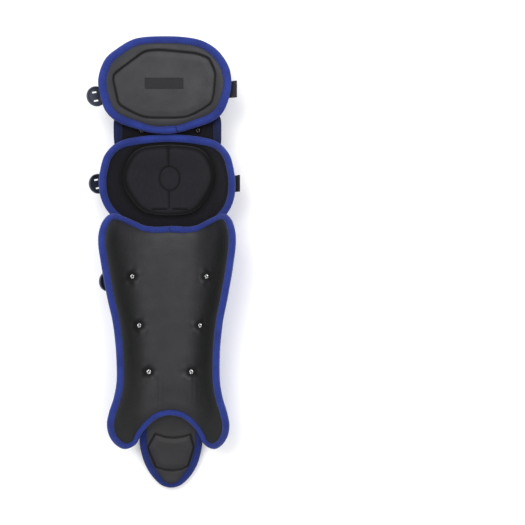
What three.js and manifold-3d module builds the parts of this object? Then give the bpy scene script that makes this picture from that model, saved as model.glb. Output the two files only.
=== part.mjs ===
// A catcher's leg guard for the left leg, lying on its shells with the side that meets the leg up.
// Millimetres. +Z is up, +Y runs from the instep to the thigh, -X is the outer side with the buckle discs.
// Every layer is an offset of one master surface, the face that meets the leg, so no two layers can cross.
import * as THREE from "three";
import { mergeVertices } from "three/addons/utils/BufferGeometryUtils.js";
import Module from "manifold-3d";

const wasm = await Module();
wasm.setup();

// Outlines as they are seen from straight above the guard, over the bindings
const THIGH_WIDTH = 200;
const THIGH_LENGTH = 142;
const LAME_WIDTH = 164;
const LAME_LENGTH = 60;
const KNEE_WIDTH = 206;
const KNEE_LENGTH = 135;
const CUSHION_WIDTH = 138;
const CUSHION_LENGTH = 100;
const BUTTON_RADIUS = 15.5;
const SHIN_WIDTH = 206;
const SHIN_LENGTH = 356;
const INSTEP_WIDTH = 98;
const INSTEP_LENGTH = 153;
const CAP_WIDTH = 172;
const CAP_LENGTH = 152;

// Where the pads lie along the guard, measured from the bend of the knee
const KNEE_Y = 5.5;
const THIGH_GAP = 3;
const SHIN_OVERLAP = 12;
const INSTEP_REACH = 65;
const THIGH_ASIDE = -4;
const KNEE_ASIDE = -1;
const kneeTop = KNEE_Y + KNEE_LENGTH / 2;
const kneeBottom = KNEE_Y - KNEE_LENGTH / 2;
const thighY = kneeTop + THIGH_GAP + THIGH_LENGTH / 2;
const lameY = kneeTop + THIGH_GAP / 2;
const shinTop = kneeBottom + SHIN_OVERLAP;
const shinBottom = shinTop - SHIN_LENGTH;
const toe = shinBottom - INSTEP_REACH;
const instepY = toe + INSTEP_LENGTH / 2;
const upperReach = thighY + THIGH_LENGTH / 2;
const lowerReach = -toe;

// Thicknesses and clearances
const PAD = 9;
const EDGE = 5.6;
const LINING = 2;
const INSTEP_PAD = 5;
const KNEE_EDGE = 4;
const CUSHION = 8;
const CLOTH = 1.2;
const BINDING_WIDTH = 10;
const SHELL = 2.6;
const STRAP = 1.5;
const WEBBING = 2;
const WEBBING_WIDTH = 25;
const FIT = 0.4;
const CLEAR = 0.5;
const SLACK = 1.3;
const SEAT = 1;

// Bend of the guard: how far its sides rise round the leg, and how far its middle bows from the floor
const SIDE_RISE = 64;
const BOW = 56;
const FLAT_SHARE = 0.2;

// Hardware
const DISC_RADIUS = 15;
const DISC_THICKNESS = 4;
const DISC_RIM = 2.5;
const SLOT_LENGTH = 7.5;
const SLOT_WIDTH = 2.4;
const SLOT_PITCH = 12.7;
const RIVET_RADIUS = 4.2;
const SHANK_RADIUS = 2;
const HEAD_HEIGHT = 1.8;
const TAIL_RADIUS = 3.6;
const TAIL_HEIGHT = 0.6;
const DIMPLE_RADIUS = 9;
const DIMPLE_DEPTH = 5;
const LINK_SHARE = 0.3786;
const RIVET_SIDES = 6;
const DRILL_LENGTH = 60;

// Depths of the layers below the face that meets the leg, worked out outwards from it
const wrap = FIT + CLOTH;
const edgeFront = PAD - EDGE;
const padWrapBack = PAD + wrap;
const shellFront = padWrapBack + CLEAR;
const shellBack = shellFront + SHELL;
const linkOnShell = shellBack + CLEAR;
const kneeLowFront = padWrapBack + SLACK + wrap;
const kneeLowBack = kneeLowFront + KNEE_EDGE;
const kneeHighFront = shellBack - wrap - KNEE_EDGE;
const kneeHighBack = kneeHighFront + KNEE_EDGE;
const linkInCap = kneeLowBack + wrap + CLEAR;
const capFront = linkInCap + STRAP + SLACK;
const capBack = capFront + SHELL;
const lameFront = shellBack + SLACK + wrap;
const lameBack = lameFront + LINING;
const lameShellFront = lameBack + wrap + CLEAR;
const lameShellBack = lameShellFront + SHELL;
const linkOnLame = lameShellBack + 2 * CLEAR;
const capFlareFront = linkOnLame + STRAP + 2 * SLACK;
const instepFront = shellBack + SLACK + wrap;
const instepBack = instepFront + INSTEP_PAD;
const instepShellFront = instepBack + wrap + CLEAR;
const instepShellBack = instepShellFront + SHELL;

// Sections of the master surface. along: share of the reach above (+) or below (-) the knee; on: depth of the
// layer that lies on the floor there; bow: share of BOW; half: share of half the knee width; rise: of SIDE_RISE.
const SECTIONS = [
  { along: -1.0, on: 0, bow: 0.52, half: 0.8, rise: 0.46 },
  { along: -0.94, on: instepShellBack, bow: 0, half: 0.82, rise: 0.48 },
  { along: -0.82, on: instepShellBack, bow: 0, half: 0.83, rise: 0.58 },
  { along: -0.745, on: 0, bow: 0.53, half: 0.81, rise: 0.66 },
  { along: -0.66, on: 0, bow: 0.54, half: 0.78, rise: 0.76 },
  { along: -0.574, on: 0, bow: 0.54, half: 0.77, rise: 0.84 },
  { along: -0.426, on: 0, bow: 0.53, half: 0.83, rise: 0.94 },
  { along: -0.255, on: 0, bow: 0.52, half: 0.96, rise: 1.03 },
  { along: -0.13, on: 0, bow: 0.5, half: 0.97, rise: 1.03 },
  { along: -0.043, on: capBack, bow: 0, half: 0.94, rise: 1.0 },
  { along: 0.05, on: capBack, bow: 0, half: 0.93, rise: 0.98 },
  { along: 0.2, on: 0, bow: 0.6, half: 0.93, rise: 0.9 },
  { along: 0.37, on: 0, bow: 0.8, half: 0.95, rise: 0.68 },
  { along: 0.55, on: 0, bow: 0.88, half: 0.97, rise: 0.54 },
  { along: 0.78, on: 0, bow: 0.94, half: 0.97, rise: 0.44 },
  { along: 1.0, on: 0, bow: 1.0, half: 0.97, rise: 0.36 },
];

// Outlines, right half only, from the bottom middle round to the top middle; x and y are shares of half the
// width and half the length. A corner row ends one side of the net that fills the outline.
const KNEE_OUTLINE = [
  { x: 0, y: -1 },
  { x: 0.55, y: -0.96 },
  { x: 0.89, y: -0.78, corner: true },
  { x: 0.975, y: -0.5 },
  { x: 1, y: -0.17 },
  { x: 0.98, y: 0.13 },
  { x: 0.91, y: 0.5 },
  { x: 0.75, y: 0.78, corner: true },
  { x: 0.48, y: 0.93 },
  { x: 0, y: 1 },
];
const LAME_OUTLINE = [
  { x: 0, y: -1 },
  { x: 0.78, y: -1 },
  { x: 0.96, y: -0.82, corner: true },
  { x: 1, y: 0 },
  { x: 0.96, y: 0.82, corner: true },
  { x: 0.78, y: 1 },
  { x: 0, y: 1 },
];
const CAP_OUTLINE = [
  { x: 0, y: -1 },
  { x: 0.6, y: -0.96 },
  { x: 0.9, y: -0.72, corner: true },
  { x: 1, y: -0.2 },
  { x: 0.98, y: 0.4 },
  { x: 0.84, y: 0.8, corner: true },
  { x: 0.5, y: 0.98 },
  { x: 0, y: 1 },
];
const INSTEP_OUTLINE = [
  { x: 0, y: -1 },
  { x: 0.28, y: -0.96 },
  { x: 0.57, y: -0.8, corner: true },
  { x: 0.81, y: -0.555 },
  { x: 0.95, y: -0.28 },
  { x: 1, y: -0.06 },
  { x: 0.96, y: 0.45 },
  { x: 0.76, y: 0.84, corner: true },
  { x: 0.4, y: 0.98 },
  { x: 0, y: 1 },
];

// The shin pad's right half, from the top of its ankle arch round the lobe and up to the knee; along is the
// share of its length from the top corners down to the lobes.
const SHIN_OUTLINE = [
  { x: 0, along: 0.861 },
  { x: 0.2, along: 0.875 },
  { x: 0.38, along: 0.916 },
  { x: 0.47, along: 0.952 },
  { x: 0.52, along: 0.98 },
  { x: 0.6, along: 0.996 },
  { x: 0.7, along: 0.999 },
  { x: 0.8, along: 0.978, corner: true },
  { x: 0.877, along: 0.94 },
  { x: 0.903, along: 0.89 },
  { x: 0.869, along: 0.835 },
  { x: 0.806, along: 0.777 },
  { x: 0.767, along: 0.716 },
  { x: 0.759, along: 0.649 },
  { x: 0.771, along: 0.556 },
  { x: 0.814, along: 0.447 },
  { x: 0.874, along: 0.362 },
  { x: 0.956, along: 0.2275 },
  { x: 1, along: 0.12 },
  { x: 0.988, along: 0.07 },
  { x: 0.942, along: 0.028, corner: true },
  { x: 0.883, along: 0.006 },
  { x: 0.825, along: 0 },
  { x: 0.75, along: 0.006 },
  { x: 0.534, along: 0.032 },
  { x: 0.41, along: 0.047 },
  { x: 0.233, along: 0.053 },
  { x: 0, along: 0.0506 },
];

// The thigh pad isn't symmetric, so its whole outline is given, anticlockwise from its lower left corner.
const THIGH_OUTLINE = [
  { x: -0.9, y: -0.62, corner: true },
  { x: -0.77, y: -0.8 },
  { x: -0.48, y: -0.93 },
  { x: -0.21, y: -1 },
  { x: 0.105, y: -1 },
  { x: 0.42, y: -0.91 },
  { x: 0.75, y: -0.77 },
  { x: 0.88, y: -0.62, corner: true },
  { x: 0.99, y: -0.21 },
  { x: 1, y: 0.08 },
  { x: 0.958, y: 0.33 },
  { x: 0.817, y: 0.64, corner: true },
  { x: 0.64, y: 0.84 },
  { x: 0.43, y: 0.95 },
  { x: 0, y: 1 },
  { x: -0.47, y: 0.94 },
  { x: -0.74, y: 0.71, corner: true },
  { x: -0.93, y: 0.47 },
  { x: -1, y: 0.045 },
  { x: -0.975, y: -0.29 },
];
const CUSHION_OUTLINE = [
  { x: -0.8, y: -0.66, corner: true },
  { x: -0.5, y: -1 },
  { x: 0.46, y: -1 },
  { x: 0.76, y: -0.66, corner: true },
  { x: 1, y: 0.02 },
  { x: 0.86, y: 0.68, corner: true },
  { x: 0.58, y: 0.96 },
  { x: -0.57, y: 0.96 },
  { x: -0.83, y: 0.67, corner: true },
  { x: -1, y: 0 },
];

// Raised panels: straight-sided, in the same shares as the pad that they are on
const THIGH_PANEL = [
  { x: -0.69, y: -0.48 },
  { x: -0.34, y: -0.72 },
  { x: 0.3, y: -0.72 },
  { x: 0.7, y: -0.44 },
  { x: 0.75, y: 0.19 },
  { x: 0.65, y: 0.52 },
  { x: 0.44, y: 0.64 },
  { x: -0.1, y: 0.71 },
  { x: -0.33, y: 0.68 },
  { x: -0.78, y: 0.15 },
  { x: -0.73, y: -0.21 },
];
const INSTEP_PANEL = [
  { x: -0.48, y: -0.6 },
  { x: 0.08, y: -0.66 },
  { x: 0.54, y: -0.57 },
  { x: 0.7, y: -0.19 },
  { x: 0.61, y: 0.07 },
  { x: 0.08, y: 0 },
  { x: -0.5, y: 0.08 },
  { x: -0.7, y: -0.2 },
];

const COLOURS = {
  leather: { color: 0x4a4a4c, roughness: 0.55, metalness: 0 },
  liner: { color: 0x26262c, roughness: 0.95, metalness: 0 },
  binding: { color: 0x2a3c92, roughness: 0.8, metalness: 0 },
  shell: { color: 0x1d3a94, roughness: 0.35, metalness: 0 },
  webbing: { color: 0x17171b, roughness: 0.9, metalness: 0 },
  disc: { color: 0x2b2f38, roughness: 0.45, metalness: 0 },
  rivet: { color: 0xb9bcc0, roughness: 0.3, metalness: 1 },
};
const materials = Object.fromEntries(
  Object.entries(COLOURS).map(([name, look]) => [name, new THREE.MeshStandardMaterial({ name, ...look })]),
);

// A smooth curve through the rows of a table that never overshoots them, so equal values stay level between.
function monotone(xs, values) {
  const steps = xs.slice(1).map((x, i) => x - xs[i]);
  const slopes = steps.map((step, i) => (values[i + 1] - values[i]) / step);
  const tangents = values.map((_, i) => {
    if (i === 0 || i === values.length - 1) return 0;
    const [before, after] = [slopes[i - 1], slopes[i]];
    return before * after <= 0 ? 0 : (2 * before * after) / (before + after);
  });
  return (x) => {
    const at = Math.min(Math.max(x, xs[0]), xs[xs.length - 1]);
    const i = Math.max(0, Math.min(steps.length - 1, xs.findLastIndex((edge) => edge <= at)));
    const t = (at - xs[i]) / steps[i];
    const keep = (1 + 2 * t) * (1 - t) ** 2;
    const reach = t * t * (3 - 2 * t);
    const leave = t * (1 - t) ** 2 * steps[i];
    const arrive = t * t * (t - 1) * steps[i];
    return keep * values[i] + reach * values[i + 1] + leave * tangents[i] + arrive * tangents[i + 1];
  };
}

const stations = SECTIONS.map((row) => row.along * (row.along > 0 ? upperReach : lowerReach));
const middleAt = monotone(stations, SECTIONS.map((row) => row.on + row.bow * BOW));
const halfAt = monotone(stations, SECTIONS.map((row) => (row.half * KNEE_WIDTH) / 2));
const riseAt = monotone(stations, SECTIONS.map((row) => row.rise * SIDE_RISE));

// Height of the master surface: level in the middle, then a parabola up to the sides
function height(x, y) {
  const out = Math.max(0, (Math.abs(x) / halfAt(y) - FLAT_SHARE) / (1 - FLAT_SHARE));
  return middleAt(y) + riseAt(y) * out * out;
}

// The slope of the master surface, from a small step either way
function slope(x, y) {
  const step = 0.5;
  const alongX = (height(x + step, y) - height(x - step, y)) / (2 * step);
  const alongY = (height(x, y + step) - height(x, y - step)) / (2 * step);
  return new THREE.Vector2(alongX, alongY);
}

// The unit normal of the master surface, towards the leg
function normalAt(x, y) {
  const { x: alongX, y: alongY } = slope(x, y);
  return new THREE.Vector3(-alongX, -alongY, 1).normalize();
}

// The point that lies `depth` outwards from the master surface at x, y
function place(x, y, depth) {
  return new THREE.Vector3(x, y, height(x, y)).addScaledVector(normalAt(x, y), -depth);
}

// A layer's depth at a point: depths are numbers, or functions of the point where a layer slants
function depthAt(depth, point) {
  return depth instanceof Function ? depth(point) : depth;
}

function deeper(depth, by) {
  return (point) => depthAt(depth, point) + by;
}

// The x, y on the master surface whose point at `depth` is seen at `seen` from above
function under(seen, depth) {
  const found = seen.clone();
  for (let round = 0; round < 30; round++) {
    const at = place(found.x, found.y, depthAt(depth, found));
    found.x += 0.7 * (seen.x - at.x);
    found.y += 0.7 * (seen.y - at.y);
  }
  return found;
}

// A loop moved sideways along the master surface, inwards where `distance` is positive
function inset(loop, distance) {
  const count = loop.length;
  const normals = loop.map((_, i) => {
    const ahead = loop[(i + 1) % count].clone().sub(loop[(i + count - 1) % count]);
    return new THREE.Vector2(-ahead.y, ahead.x).normalize();
  });
  return loop.map((point, i) => {
    const inward = normals[i].clone().multiplyScalar(2);
    inward.add(normals[(i + 1) % count]).add(normals[(i + count - 1) % count]);
    inward.normalize();
    const climb = slope(point.x, point.y).dot(inward);
    return point.clone().addScaledVector(inward, distance / Math.hypot(1, climb));
  });
}

// Both halves of a symmetric outline, anticlockwise from its lower left corner
function mirrored(half) {
  const left = half.slice(1, -1).map((row) => ({ ...row, x: -row.x })).reverse();
  const whole = [...half, ...left];
  const start = whole.findLastIndex((row) => row.corner);
  return [...whole.slice(start), ...whole.slice(0, start)];
}

// Points at equal distances along the part of a closed curve between two parameters
function spaced(curve, from, to, count) {
  const fine = Array.from({ length: 61 }, (_, i) => curve.getPoint((from + ((to - from) * i) / 60) % 1));
  const lengths = [0];
  for (let i = 1; i < fine.length; i++) lengths.push(lengths[i - 1] + fine[i].distanceTo(fine[i - 1]));
  return Array.from({ length: count }, (_, k) => {
    const target = (lengths[60] * k) / count;
    const i = Math.max(1, lengths.findIndex((length) => length >= target));
    const share = (target - lengths[i - 1]) / (lengths[i] - lengths[i - 1]);
    return fine[i - 1].clone().lerp(fine[i], share);
  });
}

// A closed loop round an outline of rows in millimetres, with `across` points on its lower and upper sides
// and `along` points on the others; `depth` is the layer whose edge is seen there.
function loopOf(rows, across, along, depth) {
  const curve = new THREE.CatmullRomCurve3(
    rows.map((row) => new THREE.Vector3(row.x, row.y, 0)),
    true,
  );
  const corners = rows.map((row, i) => (row.corner ? i : -1)).filter((i) => i >= 0);
  const stops = [...corners, rows.length];
  const points = [0, 1, 2, 3].flatMap((side) =>
    spaced(curve, stops[side] / rows.length, stops[side + 1] / rows.length, side % 2 ? along : across),
  );
  return points.map((point) => under(new THREE.Vector2(point.x, point.y), depth));
}

// Shares turned into millimetres about a centre
function sized(rows, width, length, x, y) {
  return rows.map((row) => ({ ...row, x: x + (row.x * width) / 2, y: y + (row.y * length) / 2 }));
}

// The loop where rays from the middle of `loop` through its points meet a straight-sided panel
function panelLoop(loop, rows, depth, scale) {
  const corners = rows.map((row) => under(new THREE.Vector2(row.x, row.y), depth));
  const middle = corners.reduce((sum, corner) => sum.add(corner), new THREE.Vector2());
  middle.divideScalar(corners.length);
  return loop.map((point) => {
    const ray = point.clone().sub(middle).normalize();
    const reach = corners.map((corner, i) => {
      const from = corner.clone().sub(middle);
      const edge = corners[(i + 1) % corners.length].clone().sub(corner);
      const cross = ray.cross(edge);
      const share = from.cross(ray) / cross;
      const length = from.cross(edge) / cross;
      return share >= -1e-9 && share <= 1 + 1e-9 && length > 0 ? length : Infinity;
    });
    return middle.clone().addScaledVector(ray, Math.min(...reach) * scale);
  });
}

// A round loop about a point, one point on each ray through `loop`
function roundLoop(loop, centre, radius) {
  return loop.map((point) => centre.clone().addScaledVector(point.clone().sub(centre).normalize(), radius));
}

// The points inside a four-sided loop, blended from its sides, row by row from the lower side
function netOf(loop, across, along) {
  const count = loop.length;
  const lower = (i) => loop[i];
  const right = (j) => loop[across + j];
  const upper = (i) => loop[2 * across + along - i];
  const left = (j) => loop[(count - j) % count];
  const blend = (i, j, axis) => {
    const u = i / across;
    const v = j / along;
    const sides = (1 - v) * lower(i)[axis] + v * upper(i)[axis] + (1 - u) * left(j)[axis] + u * right(j)[axis];
    const floor = (1 - u) * lower(0)[axis] + u * lower(across)[axis];
    const ceiling = (1 - u) * upper(0)[axis] + u * upper(across)[axis];
    return sides - (1 - v) * floor - v * ceiling;
  };
  return (i, j) => new THREE.Vector2(blend(i, j, "x"), blend(i, j, "y"));
}

// A closed body from points and faces, turned round if its faces point inwards
function bodyOf(points, faces) {
  const volume = faces.reduce((sum, [a, b, c]) => {
    return sum + points[a].dot(new THREE.Vector3().crossVectors(points[b], points[c]));
  }, 0);
  const turned = volume < 0 ? faces.map(([a, b, c]) => [a, c, b]) : faces;
  const geometry = new THREE.BufferGeometry().setFromPoints(points);
  geometry.setIndex(turned.flat());
  return geometry;
}

// Two triangles across four corners given in order
function quad(faces, a, b, c, d) {
  faces.push([a, b, c], [a, c, d]);
}

// Adds one face of a plate: rings of points one inside the other, and a net inside the last of them.
function addFace(points, faces, rings, across, along, outward) {
  const add = (point, depth) => points.push(place(point.x, point.y, depthAt(depth, point))) - 1;
  const ids = rings.map((ring) => ring.loop.map((point) => add(point, ring.depth)));
  const count = ids[0].length;
  const patch = (a, b, c, d) => (outward ? quad(faces, a, d, c, b) : quad(faces, a, b, c, d));
  for (let k = 1; k < ids.length; k++) {
    for (let i = 0; i < count; i++) {
      const next = (i + 1) % count;
      patch(ids[k - 1][i], ids[k - 1][next], ids[k][next], ids[k][i]);
    }
  }
  const inner = rings[rings.length - 1];
  const last = ids[ids.length - 1];
  const net = netOf(inner.loop, across, along);
  const grid = Array.from({ length: along + 1 }, (_, j) =>
    Array.from({ length: across + 1 }, (_, i) => {
      if (j === 0) return last[i];
      if (j === along) return last[2 * across + along - i];
      if (i === 0) return last[count - j];
      if (i === across) return last[across + j];
      return add(net(i, j), inner.middle ?? inner.depth);
    }),
  );
  for (let j = 0; j < along; j++) {
    for (let i = 0; i < across; i++) {
      patch(grid[j][i], grid[j][i + 1], grid[j + 1][i + 1], grid[j + 1][i]);
    }
  }
  return ids[0];
}

// A plate whose two faces are given as rings from the rim inwards, with a wall round the rim
function plate(front, back, across, along) {
  const points = [];
  const faces = [];
  const top = addFace(points, faces, front, across, along, false);
  const bottom = addFace(points, faces, back, across, along, true);
  top.forEach((id, i) => {
    const next = (i + 1) % top.length;
    quad(faces, id, bottom[i], bottom[next], top[next]);
  });
  return bodyOf(points, faces);
}

// A plate of even thickness with one ring inside its rim
function shellPlate(loop, front, back, across, along) {
  const inner = inset(loop, BINDING_WIDTH / 2);
  const face = (depth) => [{ loop, depth }, { loop: inner, depth }];
  return plate(face(front), face(back), across, along);
}

// Cloth folded round the edge of a pad, from its front to its back face
function binding(loop, front, back) {
  const section = [
    { across: BINDING_WIDTH, from: front, by: -FIT },
    { across: BINDING_WIDTH, from: front, by: -wrap },
    { across: -wrap, from: front, by: -wrap },
    { across: -wrap, from: back, by: wrap },
    { across: BINDING_WIDTH, from: back, by: wrap },
    { across: BINDING_WIDTH, from: back, by: FIT },
    { across: -FIT, from: back, by: FIT },
    { across: -FIT, from: front, by: -FIT },
  ];
  const rails = section.map((row) =>
    inset(loop, row.across).map((point) => place(point.x, point.y, depthAt(row.from, point) + row.by)),
  );
  const points = rails.flat();
  const faces = [];
  const count = loop.length;
  rails.forEach((_, k) => {
    const after = (k + 1) % rails.length;
    for (let i = 0; i < count; i++) {
      const next = (i + 1) % count;
      const corners = [k * count + i, k * count + next, after * count + next, after * count + i];
      if (section[k].across > section[after].across) corners.push(corners.shift());
      quad(faces, ...corners);
    }
  });
  return bodyOf(points, faces);
}

// A closed body between two grids of points, each given row by row
function slab(front, back) {
  const rows = front.length;
  const columns = front[0].length;
  const points = [...front.flat(), ...back.flat()];
  const faces = [];
  const id = (side, j, i) => side * rows * columns + j * columns + i;
  for (let j = 0; j + 1 < rows; j++) {
    for (let i = 0; i + 1 < columns; i++) {
      quad(faces, id(0, j, i), id(0, j, i + 1), id(0, j + 1, i + 1), id(0, j + 1, i));
      quad(faces, id(1, j, i), id(1, j + 1, i), id(1, j + 1, i + 1), id(1, j, i + 1));
    }
  }
  for (let i = 0; i + 1 < columns; i++) {
    quad(faces, id(0, 0, i), id(1, 0, i), id(1, 0, i + 1), id(0, 0, i + 1));
    quad(faces, id(0, rows - 1, i), id(0, rows - 1, i + 1), id(1, rows - 1, i + 1), id(1, rows - 1, i));
  }
  for (let j = 0; j + 1 < rows; j++) {
    quad(faces, id(0, j, 0), id(0, j + 1, 0), id(1, j + 1, 0), id(1, j, 0));
    quad(faces, id(0, j, columns - 1), id(1, j, columns - 1), id(1, j + 1, columns - 1), id(0, j + 1, columns - 1));
  }
  return bodyOf(points, faces);
}

function toSolid(geometry) {
  const bare = geometry.clone();
  bare.deleteAttribute("normal");
  bare.deleteAttribute("uv");
  const merged = mergeVertices(bare, 1e-4);
  return new wasm.Manifold(
    new wasm.Mesh({
      numProp: 3,
      vertProperties: new Float32Array(merged.attributes.position.array),
      triVerts: new Uint32Array(merged.index.array),
    }),
  );
}

function toGeometry(solid) {
  const mesh = solid.getMesh();
  const geometry = new THREE.BufferGeometry();
  geometry.setAttribute("position", new THREE.BufferAttribute(new Float32Array(mesh.vertProperties), 3));
  geometry.setIndex(new THREE.BufferAttribute(new Uint32Array(mesh.triVerts), 1));
  return geometry;
}

// Cuts every tool out of a body
function cut(geometry, tools) {
  return toGeometry(tools.reduce((solid, tool) => solid.subtract(toSolid(tool)), toSolid(geometry)));
}

// Turns +Z to point at the leg along the master surface's normal at x, y, and moves the origin to `depth`
function seat(object, x, y, depth) {
  object.quaternion.setFromUnitVectors(new THREE.Vector3(0, 0, 1), normalAt(x, y));
  object.position.copy(place(x, y, depth));
  return object;
}

// The same turn and move, applied to a cutting tool
function seatTool(geometry, x, y, depth) {
  const holder = seat(new THREE.Object3D(), x, y, depth);
  holder.updateMatrix();
  return geometry.applyMatrix4(holder.matrix);
}

// A cutting tool for a rivet's hole, along Z
function drill() {
  const radius = SHANK_RADIUS + FIT;
  return new THREE.CylinderGeometry(radius, radius, DRILL_LENGTH, RIVET_SIDES).rotateX(Math.PI / 2);
}

function hole(x, y) {
  return seatTool(drill(), x, y, instepShellBack / 2);
}

// The pucker that a quilting rivet pulls into the front of a pad
function dimple(x, y) {
  const height = 2 * DIMPLE_DEPTH;
  const funnel = new THREE.CylinderGeometry(2 * DIMPLE_RADIUS - RIVET_RADIUS - 1, RIVET_RADIUS + 1, height, 8);
  return seatTool(funnel.rotateX(Math.PI / 2), x, y, DIMPLE_DEPTH - height / 2);
}

// A rivet through everything between two depths, its domed head on the leg side, or outside if turned
function rivet(name, x, y, inner, outer, turned = false) {
  const grip = outer - inner + 2 * FIT;
  const profile = [
    new THREE.Vector2(0, -grip - TAIL_HEIGHT),
    new THREE.Vector2(TAIL_RADIUS, -grip - TAIL_HEIGHT),
    new THREE.Vector2(TAIL_RADIUS, -grip),
    new THREE.Vector2(SHANK_RADIUS, -grip),
    new THREE.Vector2(SHANK_RADIUS, 0),
    new THREE.Vector2(RIVET_RADIUS, 0),
    new THREE.Vector2(0, HEAD_HEIGHT),
  ];
  const geometry = new THREE.LatheGeometry(profile, RIVET_SIDES).rotateX(Math.PI / 2);
  if (turned) geometry.rotateX(Math.PI);
  const mesh = new THREE.Mesh(geometry, materials.rivet);
  mesh.name = name;
  return seat(mesh, x, y, turned ? outer + FIT : inner - FIT);
}

function named(name, geometry, material) {
  const flat = geometry.toNonIndexed();
  flat.computeVertexNormals();
  const mesh = new THREE.Mesh(flat, material);
  mesh.name = name;
  return mesh;
}

// The loop of a pad whose binding is seen over `rows`
function padLoop(rows, across, along, wrapBack) {
  return inset(loopOf(rows, across, along, wrapBack), wrap);
}

// A pad's front face: level under the binding, then up to `crown` over the net inside
function padFront(loop, front, crown = front) {
  return [{ loop, depth: front }, { loop: inset(loop, BINDING_WIDTH + FIT), depth: front, middle: crown }];
}

function padBack(loop, back, fill = back) {
  return [{ loop, depth: back }, { loop: inset(loop, BINDING_WIDTH), depth: back, middle: fill }];
}

// A raised panel's border starts a little further in than the binding reaches
const LEVEL_MARGIN = 1.5;

// A pad's front face with a raised panel inside a stitched groove
function panelFront(loop, front, border, groove, crown, panel, grow) {
  const level = inset(loop, BINDING_WIDTH + LEVEL_MARGIN);
  return [
    { loop, depth: front },
    { loop: level, depth: front },
    { loop: panelLoop(level, panel, border, grow), depth: border },
    { loop: panelLoop(level, panel, border, grow - 0.05), depth: groove },
    { loop: panelLoop(level, panel, border, grow - 0.1), depth: crown },
  ];
}

// Thigh pad
const THIGH_ACROSS = 10;
const THIGH_ALONG = 6;
const BORDER_DEPTH = 1;
const GROOVE_DEPTH = 3;
const SHELL_INSET = 9;
const thighRows = sized(THIGH_OUTLINE, THIGH_WIDTH, THIGH_LENGTH, THIGH_ASIDE, thighY);
const thighPanel = sized(THIGH_PANEL, THIGH_WIDTH, THIGH_LENGTH, THIGH_ASIDE, thighY);
const thighLoop = padLoop(thighRows, THIGH_ACROSS, THIGH_ALONG, padWrapBack);

// Link straps: where they cross each layer, as x, y on the master surface
const linkX = (LINK_SHARE * KNEE_WIDTH) / 2;
const linkRivets = [-1, 1].map((side) => ({ side, name: side < 0 ? "left" : "right", x: side * linkX }));
const LINK_END = 9;
const thighLinkY = thighY - THIGH_LENGTH / 6;
const lameLinkY = lameY + 1.5;
const capUpperLinkY = KNEE_Y - KNEE_LENGTH * 0.02;
const capLowerLinkY = KNEE_Y - KNEE_LENGTH * 0.33;
const shinLinkY = shinTop - SHIN_LENGTH * 0.145;

// Lame: the lip that bridges the gap between thigh and knee, further out than both
const lameRows = sized(mirrored(LAME_OUTLINE), LAME_WIDTH, LAME_LENGTH, KNEE_ASIDE * 2, lameY);
const lameLoop = padLoop(lameRows, 8, 3, lameBack + wrap);
const lameShellLoop = inset(lameLoop, 6);

// Knee cap: flares outwards at its top to take the lame and the links inside it
const CAP_Y = -13;
const CAP_ACROSS = 10;
const CAP_ALONG = 8;
const FLARE_START = 17;
const FLARE_RUN = 17;
function ramp(y, start, run) {
  const share = Math.min(1, Math.max(0, (y - start) / run));
  return share * share * (3 - 2 * share);
}
function capFrontAt(point) {
  return capFront + (capFlareFront - capFront) * ramp(point.y, FLARE_START, FLARE_RUN);
}
const capBackAt = deeper(capFrontAt, SHELL);
const capRows = sized(mirrored(CAP_OUTLINE), CAP_WIDTH, CAP_LENGTH, KNEE_ASIDE, CAP_Y);
const capLoop = loopOf(capRows, CAP_ACROSS, CAP_ALONG, capBackAt);

const kneeRows = sized(mirrored(KNEE_OUTLINE), KNEE_WIDTH, KNEE_LENGTH, KNEE_ASIDE, KNEE_Y);
const KNEE_SLANT_RUN = 75;
const kneeSlantStart = kneeBottom + 30;
const kneeSlant = (point) => ramp(point.y, kneeSlantStart, KNEE_SLANT_RUN);
const kneeFront = (point) => kneeLowFront + (kneeHighFront - kneeLowFront) * kneeSlant(point);
const kneeBack = deeper(kneeFront, KNEE_EDGE);
const kneeFill = (point) => kneeLowBack + (kneeHighBack - kneeLowBack) * ramp(point.y, FLARE_START, FLARE_RUN);
const kneeLoop = padLoop(kneeRows, 10, 6, deeper(kneeBack, wrap));

// Shin pad and instep pad
const shinRows = mirrored(SHIN_OUTLINE).map((row) => ({
  ...row,
  x: (row.x * SHIN_WIDTH) / 2,
  y: shinTop - row.along * SHIN_LENGTH,
}));
const SHIN_ALONG = 14;
const shinLoop = padLoop(shinRows, 10, SHIN_ALONG, padWrapBack);
const instepRows = sized(mirrored(INSTEP_OUTLINE), INSTEP_WIDTH, INSTEP_LENGTH, 0, instepY);
const instepPanel = sized(INSTEP_PANEL, INSTEP_WIDTH, INSTEP_LENGTH, 0, instepY);
const instepLoop = padLoop(instepRows, 6, 6, instepBack + wrap);

// Rivets that quilt the shin pad to its shell, and the two that hang the instep from the shin shell
const SHIN_RIVETS = [
  { row: "upper", x: 0.524, along: 0.264 },
  { row: "middle", x: 0.427, along: 0.474 },
  { row: "lower", x: 0.301, along: 0.675 },
];
const instepRivetX = INSTEP_WIDTH * 0.163;
const instepRivetY = instepY + INSTEP_LENGTH * 0.367;
const shinRivets = SHIN_RIVETS.flatMap((row) =>
  linkRivets.map((link) => ({
    name: `shin_rivet_${row.row}_${link.name}`,
    takesWebbing: row.row === "upper" && link.side < 0,
    x: (link.side * row.x * SHIN_WIDTH) / 2,
    y: shinTop - row.along * SHIN_LENGTH,
  })),
);
const instepRivets = linkRivets.map((link) => ({
  name: `instep_rivet_${link.name}`,
  x: link.side * instepRivetX,
  y: instepRivetY,
}));

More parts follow.
